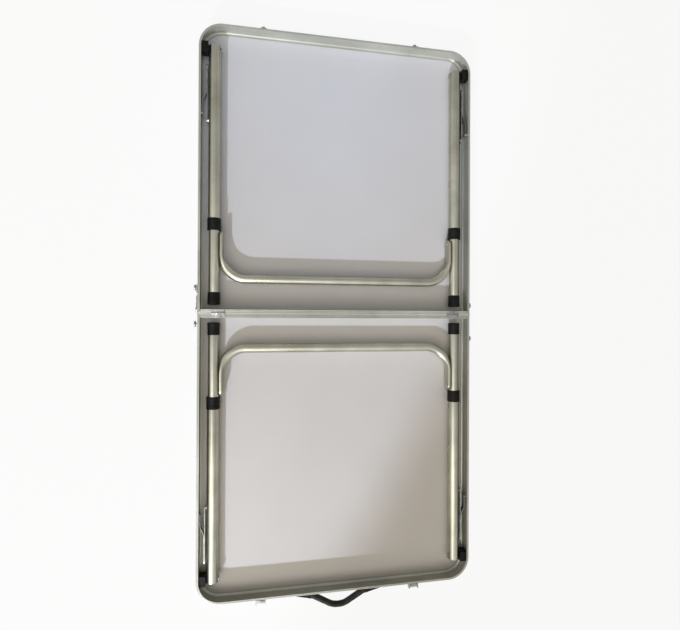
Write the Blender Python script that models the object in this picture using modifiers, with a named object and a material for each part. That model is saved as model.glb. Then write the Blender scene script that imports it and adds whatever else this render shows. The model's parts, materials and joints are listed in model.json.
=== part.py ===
"""Folding camping table: two tray halves that close like a case, with drop legs and a handle.

The table lies open and face down. Distances along a half run from the fold line, and heights
run up from the face of the table top.
"""

import math

import bmesh
import bpy

# Counts that set how finely round forms are cut
ROUND_STEPS = 24
PIN_STEPS = 12
CORNER_STEPS = 6
BULGE_STEPS = 4
COVE_STEPS = 3
BAR_STEPS = 14
BEND_STEPS = 8
GRIP_RESOLUTION = 3
SHARP_ANGLE = math.radians(35)

# Clearances
SEAT_GAP = 0.0003
CUT_OVERRUN = 0.001
MERGE_DISTANCE = 0.00001

# Table halves
TABLE_WIDTH = 0.600
HALF_LENGTH = 0.600
RIM_HEIGHT = 0.035
CORNER_RADIUS = 0.050

# Edge extrusion
FRAME_BULGE = 0.0015
FRAME_WALL_LINE = 0.0029
RAIL_WALL = 0.0020
LIP_REACH = 0.009
LIP_THICKNESS = 0.001
LEDGE_THICKNESS = 0.0012
LEDGE_FLAT = 0.0003
COVE_RADIUS = 0.005
RIM_THICKNESS = 0.0012
RIM_FOLD = 0.0024
FRAME_RIM_WIDTH = 0.0045
RAIL_RIM_WIDTH = 0.0085
BOARD_THICKNESS = 0.003

# Fold hinges
LEAF_WIDTH = 0.027
LEAF_THICKNESS = 0.0009
LEAF_LIFT = 0.00015
LEAF_SIDE_SETBACK = 0.043
BARREL_RADIUS = 0.0022
BARREL_BORE = 0.0015
BARREL_PIN = 0.0012
BARREL_RELIEF = 0.0026
KNUCKLE_WIDTH = 0.0096

# Legs
LEG_WALL_SPACE = 0.0171
LEG_PIVOT_SETBACK = 0.049
UPPER_TUBE_RADIUS = 0.0125
UPPER_TUBE_WALL = 0.0012
LOWER_TUBE_WALL = 0.0011
LOWER_TUBE_SHOWN = 0.1575
LOWER_TUBE_TAIL = 0.028
TUBE_FLOOR_GAP = 0.0017
TUBE_SWEEP_GAP = 0.0001
FOOT_FOLD_SETBACK = 0.0185
FOLD_OUT_ANGLE = math.radians(94)

# Leg pivots
PIVOT_PIN_RADIUS = 0.003
PIVOT_HEAD_RADIUS = 0.005
PIVOT_HEAD_LENGTH = 0.002
PIVOT_PIN_DEPTH = 0.012
BLOCK_LENGTH = 0.022
BLOCK_HEIGHT = 0.0198

# Collars and foot caps
COLLAR_RADIUS = 0.014
COLLAR_LENGTH = 0.0255
COLLAR_OVERLAP = 0.0225
COLLAR_TAPER = 0.0008
CAP_RADIUS = 0.013
CAP_LENGTH = 0.026
CAP_SOLE = 0.003
CAP_TAPER = 0.0005
CAP_EDGE = 0.0015

# Snap buttons
BUTTON_RADIUS = 0.0035
BUTTON_PROUD = 0.0008
HOLE_COLLAR_GAP = 0.0095
EXTENSION = 0.094
SPRING_THICKNESS = 0.0006
SPRING_WIDTH = 0.006
SPRING_REACH = 0.035
SPRING_ARM = 0.012

# Spreader bar
BAR_RADIUS = 0.0095
BAR_FOOT_SETBACK = 0.0545
BAR_BEND = 0.052
STRIP_THICKNESS = 0.0075
STRIP_HEIGHT = 0.025
STRIP_COLLAR_GAP = 0.003
STRIP_RIVET_SETBACK = 0.008
STRIP_TIP_SHARES = (0.35, 0.65, 1.0)
STRIP_SQUARE_SHARE = 0.6
HALF_STEP_SHARE = 0.5
FLATTEN_START = math.radians(40)
FLATTEN_END = math.radians(8)

# Folding stays
STAY_FRAME_REACH = 0.133
STAY_LEG_REACH = 0.148
STAY_THICKNESS = 0.0015
STAY_HALF_WIDTH = 0.006
STAY_PLANE_GAP = 0.0004
STAY_BOSS = 0.0015
STAY_SPACER = 0.0035
STAY_RIVET = 0.0022
STAY_HEAD_RADIUS = 0.004
STAY_HEAD_LENGTH = 0.0012
STAY_BOSS_ROOT_SHARE = 0.8
JOGGLE_START = 0.020
JOGGLE_LENGTH = 0.022

# Side hooks and studs
HOOK_PLACE = 0.009
HOOK_HEIGHT = 0.020
HOOK_REACH = 0.051
HOOK_HALF_WIDTH = 0.007
HOOK_THICKNESS = 0.0018
HOOK_CHAMFER = 0.003
HOOK_NOTCH_WIDTH = 0.008
HOOK_RIVET = 0.0025
HOOK_HEAD_RADIUS = 0.005
HOOK_HEAD_LENGTH = 0.0016
FINGER_REACH = 0.006
FINGER_HALF_WIDTH = 0.004
STUD_PLACE = 0.0216
STUD_RADIUS = 0.0025
STUD_NECK = 0.0027
STUD_HEAD_RADIUS = 0.0065
STUD_HEAD_LENGTH = 0.0038

# Latches and keepers
LATCH_PLACE_SHARE = 0.28
LATCH_PIN_HEIGHT = 0.029
LATCH_PIN_REACH = 0.0058
LATCH_PIN_RADIUS = 0.0015
LATCH_BORE = 0.0018
LATCH_BARREL = 0.0029
LATCH_EAR_WIDTH = 0.002
LATCH_EAR_REACH = 0.009
LATCH_EAR_HEIGHT = 0.0095
LATCH_BASE_WIDTH = 0.022
LATCH_BASE_HEIGHT = 0.0135
LATCH_ARM_WIDTH = 0.013
LATCH_ARM_THICKNESS = 0.0014
LATCH_ARM_TIP = 0.0065
LATCH_SLOT_WIDTH = 0.009
LATCH_SLOT_HEIGHT = 0.005
LATCH_TAB_REACH = 0.003
PLATE_THICKNESS = 0.0015
KEEPER_HEIGHT = 0.025
KEEPER_WIDTH = 0.016
KEEPER_BASE_HEIGHT = 0.012
KEEPER_TAB_WIDTH = 0.007
KEEPER_TAB_REACH = 0.006

# Carrying handle
HANDLE_REACH = 0.041
HANDLE_HEIGHT = 0.0175
HANDLE_PIN_REACH = 0.0095
HANDLE_RADIUS = 0.0065
HANDLE_FLAT = 0.012
HANDLE_SPAN = 0.0565
HANDLE_BEND = 0.040
HANDLE_BARREL_INNER = 0.0515
HANDLE_BARREL_OUTER = 0.0620
HANDLE_BORE = 0.0023
HANDLE_PIN = 0.0020
HANDLE_PIN_INNER = 0.0530
HANDLE_EAR_WIDTH = 0.003
HANDLE_EAR_ROUND = 0.006
HANDLE_PLATE_END = 0.097
HANDLE_PLATE_HEIGHT = 0.019
HANDLE_PLATE_ROUND = 0.004
HOUSING_END = 0.092
HOUSING_REACH = 0.0125
HOUSING_TIP_REACH = 0.006

# Sizes that follow from those above
BOARD_BOTTOM = LIP_THICKNESS + SEAT_GAP
BOARD_TOP = BOARD_BOTTOM + BOARD_THICKNESS
LEDGE_TOP = BOARD_TOP + SEAT_GAP + LEDGE_THICKNESS
LEAF_BOTTOM = RIM_HEIGHT + SEAT_GAP
FOLD_HEIGHT = LEAF_BOTTOM + LEAF_THICKNESS + LEAF_LIFT
PIVOT_HEIGHT = BOARD_TOP + TUBE_FLOOR_GAP + UPPER_TUBE_RADIUS
UPPER_TUBE_BORE = UPPER_TUBE_RADIUS - UPPER_TUBE_WALL
LOWER_TUBE_RADIUS = UPPER_TUBE_BORE - SEAT_GAP
LOWER_TUBE_BORE = LOWER_TUBE_RADIUS - LOWER_TUBE_WALL
SWEEP_RADIUS = PIVOT_HEIGHT - BOARD_TOP - TUBE_SWEEP_GAP
TUBE_OVERHANG = math.sqrt(SWEEP_RADIUS ** 2 - UPPER_TUBE_RADIUS ** 2)
LEAF_PLACE = TABLE_WIDTH / 2 - LEAF_SIDE_SETBACK
LATCH_PLACE = TABLE_WIDTH * LATCH_PLACE_SHARE
WALL_INSIDE = TABLE_WIDTH / 2 - FRAME_WALL_LINE
TUBE_SIDE = WALL_INSIDE - LEG_WALL_SPACE
LEG_PLACE = TUBE_SIDE - UPPER_TUBE_RADIUS
LEG_PIVOT_PLACE = HALF_LENGTH - LEG_PIVOT_SETBACK
FOOT_REACH = LEG_PIVOT_PLACE - FOOT_FOLD_SETBACK
UPPER_TUBE_REACH = FOOT_REACH - LOWER_TUBE_SHOWN
COLLAR_START = UPPER_TUBE_REACH - COLLAR_OVERLAP
COLLAR_END = COLLAR_START + COLLAR_LENGTH
BUTTON_PLACE = COLLAR_START - HOLE_COLLAR_GAP - EXTENSION
LOWER_TUBE_START = BUTTON_PLACE - LOWER_TUBE_TAIL
STRIP_PLACE = LEG_PLACE - LOWER_TUBE_RADIUS - SEAT_GAP - STRIP_THICKNESS / 2
STRIP_START = COLLAR_END + STRIP_COLLAR_GAP
BEND_CENTRE = STRIP_PLACE - BAR_BEND
BEND_START = FOOT_REACH - BAR_FOOT_SETBACK - BAR_BEND
LEG_STAY_PLACE = TUBE_SIDE + STAY_BOSS + SEAT_GAP + STAY_THICKNESS / 2
FRAME_STAY_PLACE = LEG_STAY_PLACE + STAY_THICKNESS + STAY_PLANE_GAP
STAY_ANCHOR_PLACE = WALL_INSIDE - STAY_SPACER - SEAT_GAP - STAY_THICKNESS / 2
STAY_SPAN = math.sqrt(
    STAY_FRAME_REACH ** 2
    + STAY_LEG_REACH ** 2
    - 2 * STAY_FRAME_REACH * STAY_LEG_REACH * math.cos(FOLD_OUT_ANGLE)
)
ELBOW_PLACE = (STAY_FRAME_REACH + STAY_LEG_REACH - STAY_SPAN) / 2
FRAME_STAY_LENGTH = STAY_FRAME_REACH - ELBOW_PLACE
LEG_STAY_LENGTH = STAY_LEG_REACH - ELBOW_PLACE
HOOK_NOTCH_PLACE = HOOK_PLACE + STUD_PLACE
LATCH_THROW = 2 * FOLD_HEIGHT - KEEPER_HEIGHT - LATCH_PIN_HEIGHT
KEEPER_REACH = SEAT_GAP + PLATE_THICKNESS + KEEPER_TAB_REACH
FOLD_LINE = (HANDLE_REACH - KEEPER_REACH) / 2

# Directions: an outline drawn flat stands upright along the side wall or along the end wall
SIDE_PLANE = (math.pi / 2, 0, math.pi / 2)
END_PLANE = (math.pi / 2, 0, 0)
FLAT = (0, 0, 0)
TURN_TO = {
    "+X": (0, math.pi / 2, 0),
    "-X": (0, -math.pi / 2, 0),
    "+Y": (-math.pi / 2, 0, 0),
}

PARTS_NAME = "camping_table"
TOOLS_NAME = "cutters"

FINISHES = {
    "aluminium": ((0.60, 0.60, 0.56, 1), 0.38, 1.0),
    "tube": ((0.62, 0.61, 0.54, 1), 0.30, 1.0),
    "board": ((0.78, 0.78, 0.80, 1), 0.55, 0.0),
    "steel": ((0.45, 0.45, 0.43, 1), 0.35, 1.0),
    "black_plastic": ((0.02, 0.02, 0.02, 1), 0.45, 0.0),
    "handle_plastic": ((0.04, 0.04, 0.04, 1), 0.50, 0.0),
}


def clear_scene():
    """Remove whatever the scene holds and make the two collections."""
    for item in list(bpy.data.objects):
        bpy.data.objects.remove(item, do_unlink=True)
    for name in (PARTS_NAME, TOOLS_NAME):
        group = bpy.data.collections.new(name)
        bpy.context.scene.collection.children.link(group)


def finish(name):
    """Give the material of this name, made on first use."""
    if name in bpy.data.materials:
        return bpy.data.materials[name]
    colour, roughness, metallic = FINISHES[name]
    made = bpy.data.materials.new(name)
    made.use_nodes = True
    shader = made.node_tree.nodes["Principled BSDF"]
    shader.inputs["Base Color"].default_value = colour
    shader.inputs["Roughness"].default_value = roughness
    shader.inputs["Metallic"].default_value = metallic
    return made


def pivot(name, parent, location, turn=(0, 0, 0)):
    """Place an empty that carries pieces, on a joint axis or at a corner of the frame."""
    carrier = bpy.data.objects.new(name, None)
    bpy.data.collections[PARTS_NAME].objects.link(carrier)
    carrier.parent = parent
    carrier.location = location
    carrier.rotation_euler = turn
    return carrier


def add_piece(name, data, parent, at, turn=(0, 0, 0), look=None):
    """Add an object; without a look it is only a tool for cutting or joining."""
    item = bpy.data.objects.new(name, data)
    group = PARTS_NAME if look else TOOLS_NAME
    bpy.data.collections[group].objects.link(item)
    item.parent = parent
    item.location = at
    item.rotation_euler = turn
    if look:
        data.materials.append(finish(look))
    else:
        item.hide_render = True
        item.display_type = "WIRE"
    return item


def mesh_from(name, bm):
    """Turn a working mesh into mesh data with its faces pointing out."""
    bmesh.ops.recalc_face_normals(bm, faces=bm.faces)
    data = bpy.data.meshes.new(name)
    bm.to_mesh(data)
    bm.free()
    data.shade_smooth()
    data.set_sharp_from_angle(angle=SHARP_ANGLE)
    return data


def box(name, parent, size, at, look=None):
    """A block centred on its place."""
    bm = bmesh.new()
    bmesh.ops.create_cube(bm, size=1)
    bmesh.ops.scale(bm, vec=size, verts=bm.verts)
    return add_piece(name, mesh_from(name, bm), parent, at, look=look)


def turned(name, parent, profile, at, direction, ring=False, steps=PIN_STEPS, look=None):
    """A turned shape from (radius, place along the axis) points, far end first."""
    data = bpy.data.meshes.new(name)
    points = [(radius, 0, along) for radius, along in profile]
    edges = [(index, index + 1) for index in range(len(points) - 1)]
    if ring:
        edges.append((len(points) - 1, 0))
    data.from_pydata(points, edges, [])
    item = add_piece(name, data, parent, at, TURN_TO[direction], look)
    screw = item.modifiers.new("turn", "SCREW")
    screw.steps = steps
    screw.render_steps = steps
    screw.use_merge_vertices = True
    screw.merge_threshold = MERGE_DISTANCE
    return item


def stepped(sections):
    """Profile of a solid pin whose (start, end, radius) sections follow each other."""
    profile = [(0, sections[-1][1])]
    for start, end, radius in reversed(sections):
        profile.append((radius, end))
        profile.append((radius, start))
    profile.append((0, sections[0][0]))
    return profile


def rod(name, parent, radius, start, end, at, direction, steps=PIN_STEPS, look=None):
    """A plain round pin from start to end along its direction."""
    return turned(name, parent, stepped([(start, end, radius)]), at, direction, steps=steps, look=look)


def arc(centre, radius, first, last, steps):
    """Points along an arc, from the first angle to the last."""
    points = []
    for step in range(steps + 1):
        angle = first + (last - first) * step / steps
        points.append((centre[0] + radius * math.cos(angle), centre[1] + radius * math.sin(angle)))
    return points


def circle(centre, radius):
    """A closed ring of points."""
    return arc(centre, radius, 0, 2 * math.pi, PIN_STEPS)[:-1]


def stadium(length, half_width):
    """Outline of a flat bar with round ends, from 0 to minus length."""
    near_end = arc((0, 0), half_width, -math.pi / 2, math.pi / 2, CORNER_STEPS)
    far_end = arc((-length, 0), half_width, math.pi / 2, 3 * math.pi / 2, CORNER_STEPS)
    return near_end + far_end


def rectangle(low, high):
    """Outline of a rectangle between two corners."""
    return [(low[0], low[1]), (high[0], low[1]), (high[0], high[1]), (low[0], high[1])]


def round_corners(outline, radius, steps, closed=True):
    """Swap the corners of an outline for arcs of one radius."""
    points = []
    count = len(outline)
    for index, corner in enumerate(outline):
        if not closed and index in (0, count - 1):
            points.append(corner)
            continue
        before = outline[index - 1]
        after = outline[(index + 1) % count]
        way_in = math.atan2(corner[1] - before[1], corner[0] - before[0])
        way_out = math.atan2(after[1] - corner[1], after[0] - corner[0])
        bend = math.remainder(way_out - way_in, 2 * math.pi)
        setback = radius * math.tan(abs(bend) / 2)
        side = math.copysign(math.pi / 2, bend)
        start_x = corner[0] - setback * math.cos(way_in)
        start_y = corner[1] - setback * math.sin(way_in)
        centre_x = start_x + radius * math.cos(way_in + side)
        centre_y = start_y + radius * math.sin(way_in + side)
        points += arc((centre_x, centre_y), radius, way_in - side, way_in + bend - side, steps)
    return points


def curve_to_mesh(curve):
    """Mesh data of a curve, with its loose caps welded on."""
    carrier = bpy.data.objects.new(curve.name, curve)
    bpy.context.scene.collection.objects.link(carrier)
    graph = bpy.context.evaluated_depsgraph_get()
    raw = bpy.data.meshes.new_from_object(carrier.evaluated_get(graph))
    name = curve.name
    bpy.data.objects.remove(carrier, do_unlink=True)
    bm = bmesh.new()
    bm.from_mesh(raw)
    bmesh.ops.remove_doubles(bm, verts=bm.verts, dist=MERGE_DISTANCE)
    return mesh_from(name, bm)


def plate(name, parent, outlines, thickness, at, turn, look=None):
    """A flat plate about its middle plane: the first outline is its edge, the rest are holes."""
    curve = bpy.data.curves.new(name, "CURVE")
    curve.dimensions = "2D"
    curve.fill_mode = "BOTH"
    curve.extrude = thickness / 2
    for outline in outlines:
        spline = curve.splines.new("POLY")
        spline.points.add(len(outline) - 1)
        for point, (across, along) in zip(spline.points, outline):
            point.co = (across, along, 0, 1)
        spline.use_cyclic_u = True
    return add_piece(name, curve_to_mesh(curve), parent, at, turn, look)


def bar(name, parent, route, radius, at, look=None):
    """A round bar along a flat route."""
    curve = bpy.data.curves.new(name, "CURVE")
    curve.dimensions = "3D"
    curve.bevel_depth = radius
    curve.bevel_resolution = GRIP_RESOLUTION
    curve.use_fill_caps = True
    spline = curve.splines.new("POLY")
    spline.points.add(len(route) - 1)
    for point, (across, along) in zip(spline.points, route):
        point.co = (across, along, 0, 1)
    return add_piece(name, curve_to_mesh(curve), parent, at, look=look)


def combine(item, operation, tools):
    """Join tools to an item or cut them out of it."""
    for tool in tools:
        step = item.modifiers.new(tool.name, "BOOLEAN")
        step.operation = operation
        step.solver = "EXACT"
        step.object = tool


def world_side(half, side):
    """Left or right as seen from above, for a side of one half."""
    facing = side if half == "near" else -side
    return "right" if facing > 0 else "left"


def edge_section(bulge, wall, rim_width, steps):
    """Section of the edge extrusion as (inward, up) points, from its outer foot round."""
    points = []
    for step in range(steps + 1):
        height_share = step / steps
        swell_share = 1 - (2 * height_share - 1) ** 2
        points.append((bulge * (1 - swell_share), RIM_HEIGHT * height_share))
    rim_edge = bulge + rim_width
    rim_under = RIM_HEIGHT - RIM_THICKNESS
    points.append((rim_edge, RIM_HEIGHT))
    points.append((rim_edge, RIM_HEIGHT - RIM_FOLD))
    points.append((rim_edge - RIM_THICKNESS, RIM_HEIGHT - RIM_FOLD))
    points.append((rim_edge - RIM_THICKNESS, rim_under))
    points.append((wall, rim_under))
    cove = (wall + COVE_RADIUS, LEDGE_TOP + COVE_RADIUS)
    points += arc(cove, COVE_RADIUS, math.pi, 3 * math.pi / 2, COVE_STEPS)
    ledge_edge = wall + COVE_RADIUS + LEDGE_FLAT
    points.append((ledge_edge, LEDGE_TOP))
    points.append((ledge_edge, LEDGE_TOP - LEDGE_THICKNESS))
    points.append((wall, LEDGE_TOP - LEDGE_THICKNESS))
    points.append((wall, LIP_THICKNESS))
    points.append((LIP_REACH, LIP_THICKNESS))
    points.append((LIP_REACH, 0))
    return points


def draw_section(bm, points):
    """Put a closed section into a working mesh as one face and give its edges."""
    corners = [bm.verts.new(point) for point in points]
    return list(bm.faces.new(corners).edges)


def run_straight(bm, edges, move_to):
    """Carry a section's edges along; move_to gives each new point's place."""
    made = bmesh.ops.extrude_edge_only(bm, edges=edges)["geom"]
    corners = {item for item in made if isinstance(item, bmesh.types.BMVert)}
    for corner in corners:
        corner.co = move_to(corner.co)
    lines = [item for item in made if isinstance(item, bmesh.types.BMEdge)]
    return [line for line in lines if line.verts[0] in corners and line.verts[1] in corners]


def run_round(bm, edges, centre):
    """Carry a section's edges through a quarter turn."""
    corners = {corner for line in edges for corner in line.verts}
    made = bmesh.ops.spin(
        bm, geom=list(corners) + edges, cent=centre, axis=(0, 0, 1), dvec=(0, 0, 0),
        angle=math.pi / 2, steps=CORNER_STEPS, use_duplicate=False)
    return [item for item in made["geom_last"] if isinstance(item, bmesh.types.BMEdge)]


def add_edge_frame(half, tray):
    """The three-sided edge, mitred where it meets the hinge rail."""
    name = f"{half}_edge_frame"
    side = TABLE_WIDTH / 2
    mitre = SEAT_GAP / math.sqrt(2)
    section = edge_section(FRAME_BULGE, FRAME_WALL_LINE, FRAME_RIM_WIDTH, BULGE_STEPS)
    bm = bmesh.new()
    start = [(inward - side, -(SEAT_GAP + inward + mitre), up) for inward, up in section]
    edges = draw_section(bm, start)
    bend = HALF_LENGTH - CORNER_RADIUS
    edges = run_straight(bm, edges, lambda co: (co.x, -bend, co.z))
    edges = run_round(bm, edges, (CORNER_RADIUS - side, -bend, 0))
    edges = run_straight(bm, edges, lambda co: (side - CORNER_RADIUS, co.y, co.z))
    edges = run_round(bm, edges, (side - CORNER_RADIUS, -bend, 0))
    edges = run_straight(bm, edges, lambda co: (co.x, -(SEAT_GAP + side - co.x + mitre), co.z))
    bmesh.ops.contextual_create(bm, geom=edges)
    frame = add_piece(name, mesh_from(name, bm), tray, (0, 0, 0), look="aluminium")
    rivets = []
    for direction in ("+X", "-X"):
        rivets.append(stay_rivet(f"{half}_stay_rivet_{direction}", tray, direction))
    rivets.append(hook_rivet(f"{half}_hook_rivet", tray))
    rivets.append(stud(f"{half}_stud", tray))
    combine(frame, "UNION", rivets)


def stay_rivet(name, tray, direction):
    """Spacer, shank and head on a side wall, where a frame link turns."""
    outer = STAY_ANCHOR_PLACE + STAY_THICKNESS / 2 + SEAT_GAP
    inner = STAY_ANCHOR_PLACE - STAY_THICKNESS / 2 - SEAT_GAP
    sections = [
        (inner - STAY_HEAD_LENGTH, inner, STAY_HEAD_RADIUS),
        (inner, outer, STAY_RIVET),
        (outer, WALL_INSIDE + FRAME_WALL_LINE / 2, STAY_HEAD_RADIUS),
    ]
    at = (0, STAY_FRAME_REACH - LEG_PIVOT_PLACE, PIVOT_HEIGHT)
    return turned(name, tray, stepped(sections), at, direction)


def hook_rivet(name, tray):
    """Shank and head outside the side wall, where the side hook turns."""
    wall = TABLE_WIDTH / 2
    under_head = wall + SEAT_GAP + HOOK_THICKNESS + SEAT_GAP
    sections = [
        (wall - FRAME_WALL_LINE / 2, under_head, HOOK_RIVET),
        (under_head, under_head + HOOK_HEAD_LENGTH, HOOK_HEAD_RADIUS),
    ]
    return turned(name, tray, stepped(sections), (0, -HOOK_PLACE, HOOK_HEIGHT), "+X")


def stud(name, tray):
    """Headed stud that the other half's side hook drops over."""
    wall = TABLE_WIDTH / 2
    sections = [
        (wall - FRAME_WALL_LINE / 2, wall + STUD_NECK, STUD_RADIUS),
        (wall + STUD_NECK, wall + STUD_NECK + STUD_HEAD_LENGTH, STUD_HEAD_RADIUS),
    ]
    return turned(name, tray, stepped(sections), (0, -STUD_PLACE, HOOK_HEIGHT), "-X")


def add_hinge_rail(half, tray):
    """The straight extrusion along the fold, relieved round the hinge barrels."""
    name = f"{half}_hinge_rail"
    side = TABLE_WIDTH / 2
    mitre = SEAT_GAP / math.sqrt(2)
    section = edge_section(0, RAIL_WALL, RAIL_RIM_WIDTH, 1)
    bm = bmesh.new()
    start = [(inward + mitre - side, -(SEAT_GAP + inward), up) for inward, up in section]
    edges = draw_section(bm, start)
    edges = run_straight(bm, edges, lambda co: (-co.x, co.y, co.z))
    bmesh.ops.contextual_create(bm, geom=edges)
    rail = add_piece(name, mesh_from(name, bm), tray, (0, 0, 0), look="aluminium")
    reliefs = []
    for side_sign in (-1, 1):
        middle = side_sign * LEAF_PLACE
        half_cut = LEAF_WIDTH / 2 + CUT_OVERRUN
        reliefs.append(rod(f"{name}_relief_{side_sign}", tray, BARREL_RELIEF, middle - half_cut,
                           middle + half_cut, (0, 0, FOLD_HEIGHT), "+X"))
    combine(rail, "DIFFERENCE", reliefs)


def tray_outline(inset):
    """Inside outline of a tray's frame, a given distance in from its outer face."""
    side = TABLE_WIDTH / 2 - inset
    far = HALF_LENGTH - inset
    radius = CORNER_RADIUS - inset
    near_end = SEAT_GAP + RAIL_WALL + SEAT_GAP
    left = arc((radius - side, radius - far), radius, math.pi, 3 * math.pi / 2, CORNER_STEPS)
    right = arc((side - radius, radius - far), radius, -math.pi / 2, 0, CORNER_STEPS)
    return [(-side, -near_end)] + left + right + [(side, -near_end)]


def add_board(half, tray):
    """The board panel in the channel between lip and ledge."""
    outline = tray_outline(FRAME_WALL_LINE + SEAT_GAP)
    middle = (BOARD_BOTTOM + BOARD_TOP) / 2
    plate(f"{half}_board", tray, [outline], BOARD_THICKNESS, (0, 0, middle), FLAT, "board")


def leaf_outline(half):
    """Plan of a hinge leaf, whose tabs reach the fold line beside or between knuckles."""
    edge = LEAF_WIDTH / 2
    back = SEAT_GAP + RAIL_RIM_WIDTH
    step = BARREL_RADIUS + SEAT_GAP
    middle = KNUCKLE_WIDTH / 2
    if half == "far":
        tabs = [(middle, -step), (middle, 0), (-middle, 0), (-middle, -step)]
        return [(-edge, -step), (-edge, -back), (edge, -back), (edge, -step)] + tabs
    inner = middle + SEAT_GAP
    tabs = [(edge, 0), (inner, 0), (inner, -step), (-inner, -step), (-inner, 0), (-edge, 0)]
    return [(-edge, -back), (edge, -back)] + tabs


def add_hinge_leaf(half, tray, side):
    """A hinge leaf on the rail's rim; the near leaf has the outer knuckles and the pin."""
    name = f"{half}_{world_side(half, side)}_hinge_leaf"
    middle = side * LEAF_PLACE
    at = (middle, 0, LEAF_BOTTOM + LEAF_THICKNESS / 2)
    leaf = plate(name, tray, [leaf_outline(half)], LEAF_THICKNESS, at, FLAT, "steel")
    axis = (middle, 0, FOLD_HEIGHT)
    inner = KNUCKLE_WIDTH / 2
    if half == "far":
        knuckle = rod(f"{name}_knuckle", tray, BARREL_RADIUS, -inner, inner, axis, "+X")
        bore = rod(f"{name}_bore", tray, BARREL_BORE, -inner - CUT_OVERRUN, inner + CUT_OVERRUN,
                   axis, "+X")
        combine(leaf, "UNION", [knuckle])
        combine(leaf, "DIFFERENCE", [bore])
        return
    start = inner + SEAT_GAP
    end = LEAF_WIDTH / 2
    sections = [(-end, -start, BARREL_RADIUS), (-start, start, BARREL_PIN), (start, end, BARREL_RADIUS)]
    combine(leaf, "UNION", [turned(f"{name}_knuckles", tray, stepped(sections), axis, "+X")])


def add_pivot_block(half, tray, side):
    """The plastic block between side wall and leg, shaped to the tray's round corner."""
    name = f"{half}_{world_side(half, side)}_pivot_block"
    inner = TUBE_SIDE + SEAT_GAP
    outer = TABLE_WIDTH / 2
    size = (outer - inner, BLOCK_LENGTH, BLOCK_HEIGHT)
    bottom = LEDGE_TOP + COVE_RADIUS + SEAT_GAP
    middle = bottom + BLOCK_HEIGHT / 2
    at = (side * (inner + outer) / 2, -LEG_PIVOT_PLACE, middle)
    block = box(name, tray, size, at, "black_plastic")
    room = plate(f"{name}_room", tray, [tray_outline(FRAME_WALL_LINE + SEAT_GAP)],
                 BLOCK_HEIGHT + 2 * CUT_OVERRUN, (0, 0, middle), FLAT)
    combine(block, "INTERSECT", [room])
    direction = "+X" if side > 0 else "-X"
    bore = rod(f"{name}_bore", tray, PIVOT_PIN_RADIUS + SEAT_GAP, inner - CUT_OVERRUN,
               inner + PIVOT_PIN_DEPTH, (0, -LEG_PIVOT_PLACE, PIVOT_HEIGHT), direction)
    combine(block, "DIFFERENCE", [bore])


def add_pivot_pin(half, tray, side):
    """The headed pin that a leg turns on, through the tube into the block."""
    name = f"{half}_{world_side(half, side)}_pivot_pin"
    under_head = LEG_PLACE - UPPER_TUBE_RADIUS - SEAT_GAP
    sections = [
        (under_head - PIVOT_HEAD_LENGTH, under_head, PIVOT_HEAD_RADIUS),
        (under_head, TUBE_SIDE + PIVOT_PIN_DEPTH, PIVOT_PIN_RADIUS),
    ]
    direction = "+X" if side > 0 else "-X"
    turned(name, tray, stepped(sections), (0, -LEG_PIVOT_PLACE, PIVOT_HEIGHT), direction,
           look="steel")


def tube_profile(radius, bore, start, end):
    """Ring profile of a tube."""
    return [(radius, end), (radius, start), (bore, start), (bore, end)]


def add_upper_tube(half, leg, side):
    """The upper leg tube, with its pivot holes, snap holes and the stay's boss."""
    name = f"{half}_{world_side(half, side)}_upper_leg_tube"
    direction = "+X" if side > 0 else "-X"
    axis = (side * LEG_PLACE, 0, 0)
    profile = tube_profile(UPPER_TUBE_RADIUS, UPPER_TUBE_BORE, -TUBE_OVERHANG, UPPER_TUBE_REACH)
    tube = turned(name, leg, profile, axis, "+Y", ring=True, steps=ROUND_STEPS, look="tube")
    reach = UPPER_TUBE_RADIUS + CUT_OVERRUN
    holes = [rod(f"{name}_pivot_hole", leg, PIVOT_PIN_RADIUS + SEAT_GAP, LEG_PLACE - reach,
                 LEG_PLACE + reach, (0, 0, 0), direction)]
    for place in (BUTTON_PLACE, BUTTON_PLACE + EXTENSION):
        holes.append(rod(f"{name}_snap_hole", leg, BUTTON_RADIUS + SEAT_GAP, LEG_PLACE - reach,
                         LEG_PLACE, (0, place, 0), direction))
    combine(tube, "DIFFERENCE", holes)
    boss_top = TUBE_SIDE + STAY_BOSS
    under_head = boss_top + STAY_THICKNESS + 2 * SEAT_GAP
    sections = [
        (TUBE_SIDE - UPPER_TUBE_WALL * STAY_BOSS_ROOT_SHARE, boss_top, STAY_HEAD_RADIUS),
        (boss_top, under_head, STAY_RIVET),
        (under_head, under_head + STAY_HEAD_LENGTH, STAY_HEAD_RADIUS),
    ]
    boss = turned(f"{name}_boss", leg, stepped(sections), (0, STAY_LEG_REACH, 0), direction)
    combine(tube, "UNION", [boss])


def add_collar(half, leg, side):
    """The plastic collar that steps over the end of the upper tube."""
    name = f"{half}_{world_side(half, side)}_leg_collar"
    guide = LOWER_TUBE_RADIUS + SEAT_GAP
    socket = UPPER_TUBE_RADIUS + SEAT_GAP
    stop = UPPER_TUBE_REACH + SEAT_GAP
    profile = [
        (COLLAR_RADIUS - COLLAR_TAPER, COLLAR_END),
        (COLLAR_RADIUS, COLLAR_END - COLLAR_TAPER),
        (COLLAR_RADIUS, COLLAR_START + COLLAR_TAPER),
        (COLLAR_RADIUS - COLLAR_TAPER, COLLAR_START),
        (socket, COLLAR_START),
        (socket, stop),
        (guide, stop),
        (guide, COLLAR_END),
    ]
    turned(name, leg, profile, (side * LEG_PLACE, 0, 0), "+Y", ring=True, steps=ROUND_STEPS,
           look="black_plastic")


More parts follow.
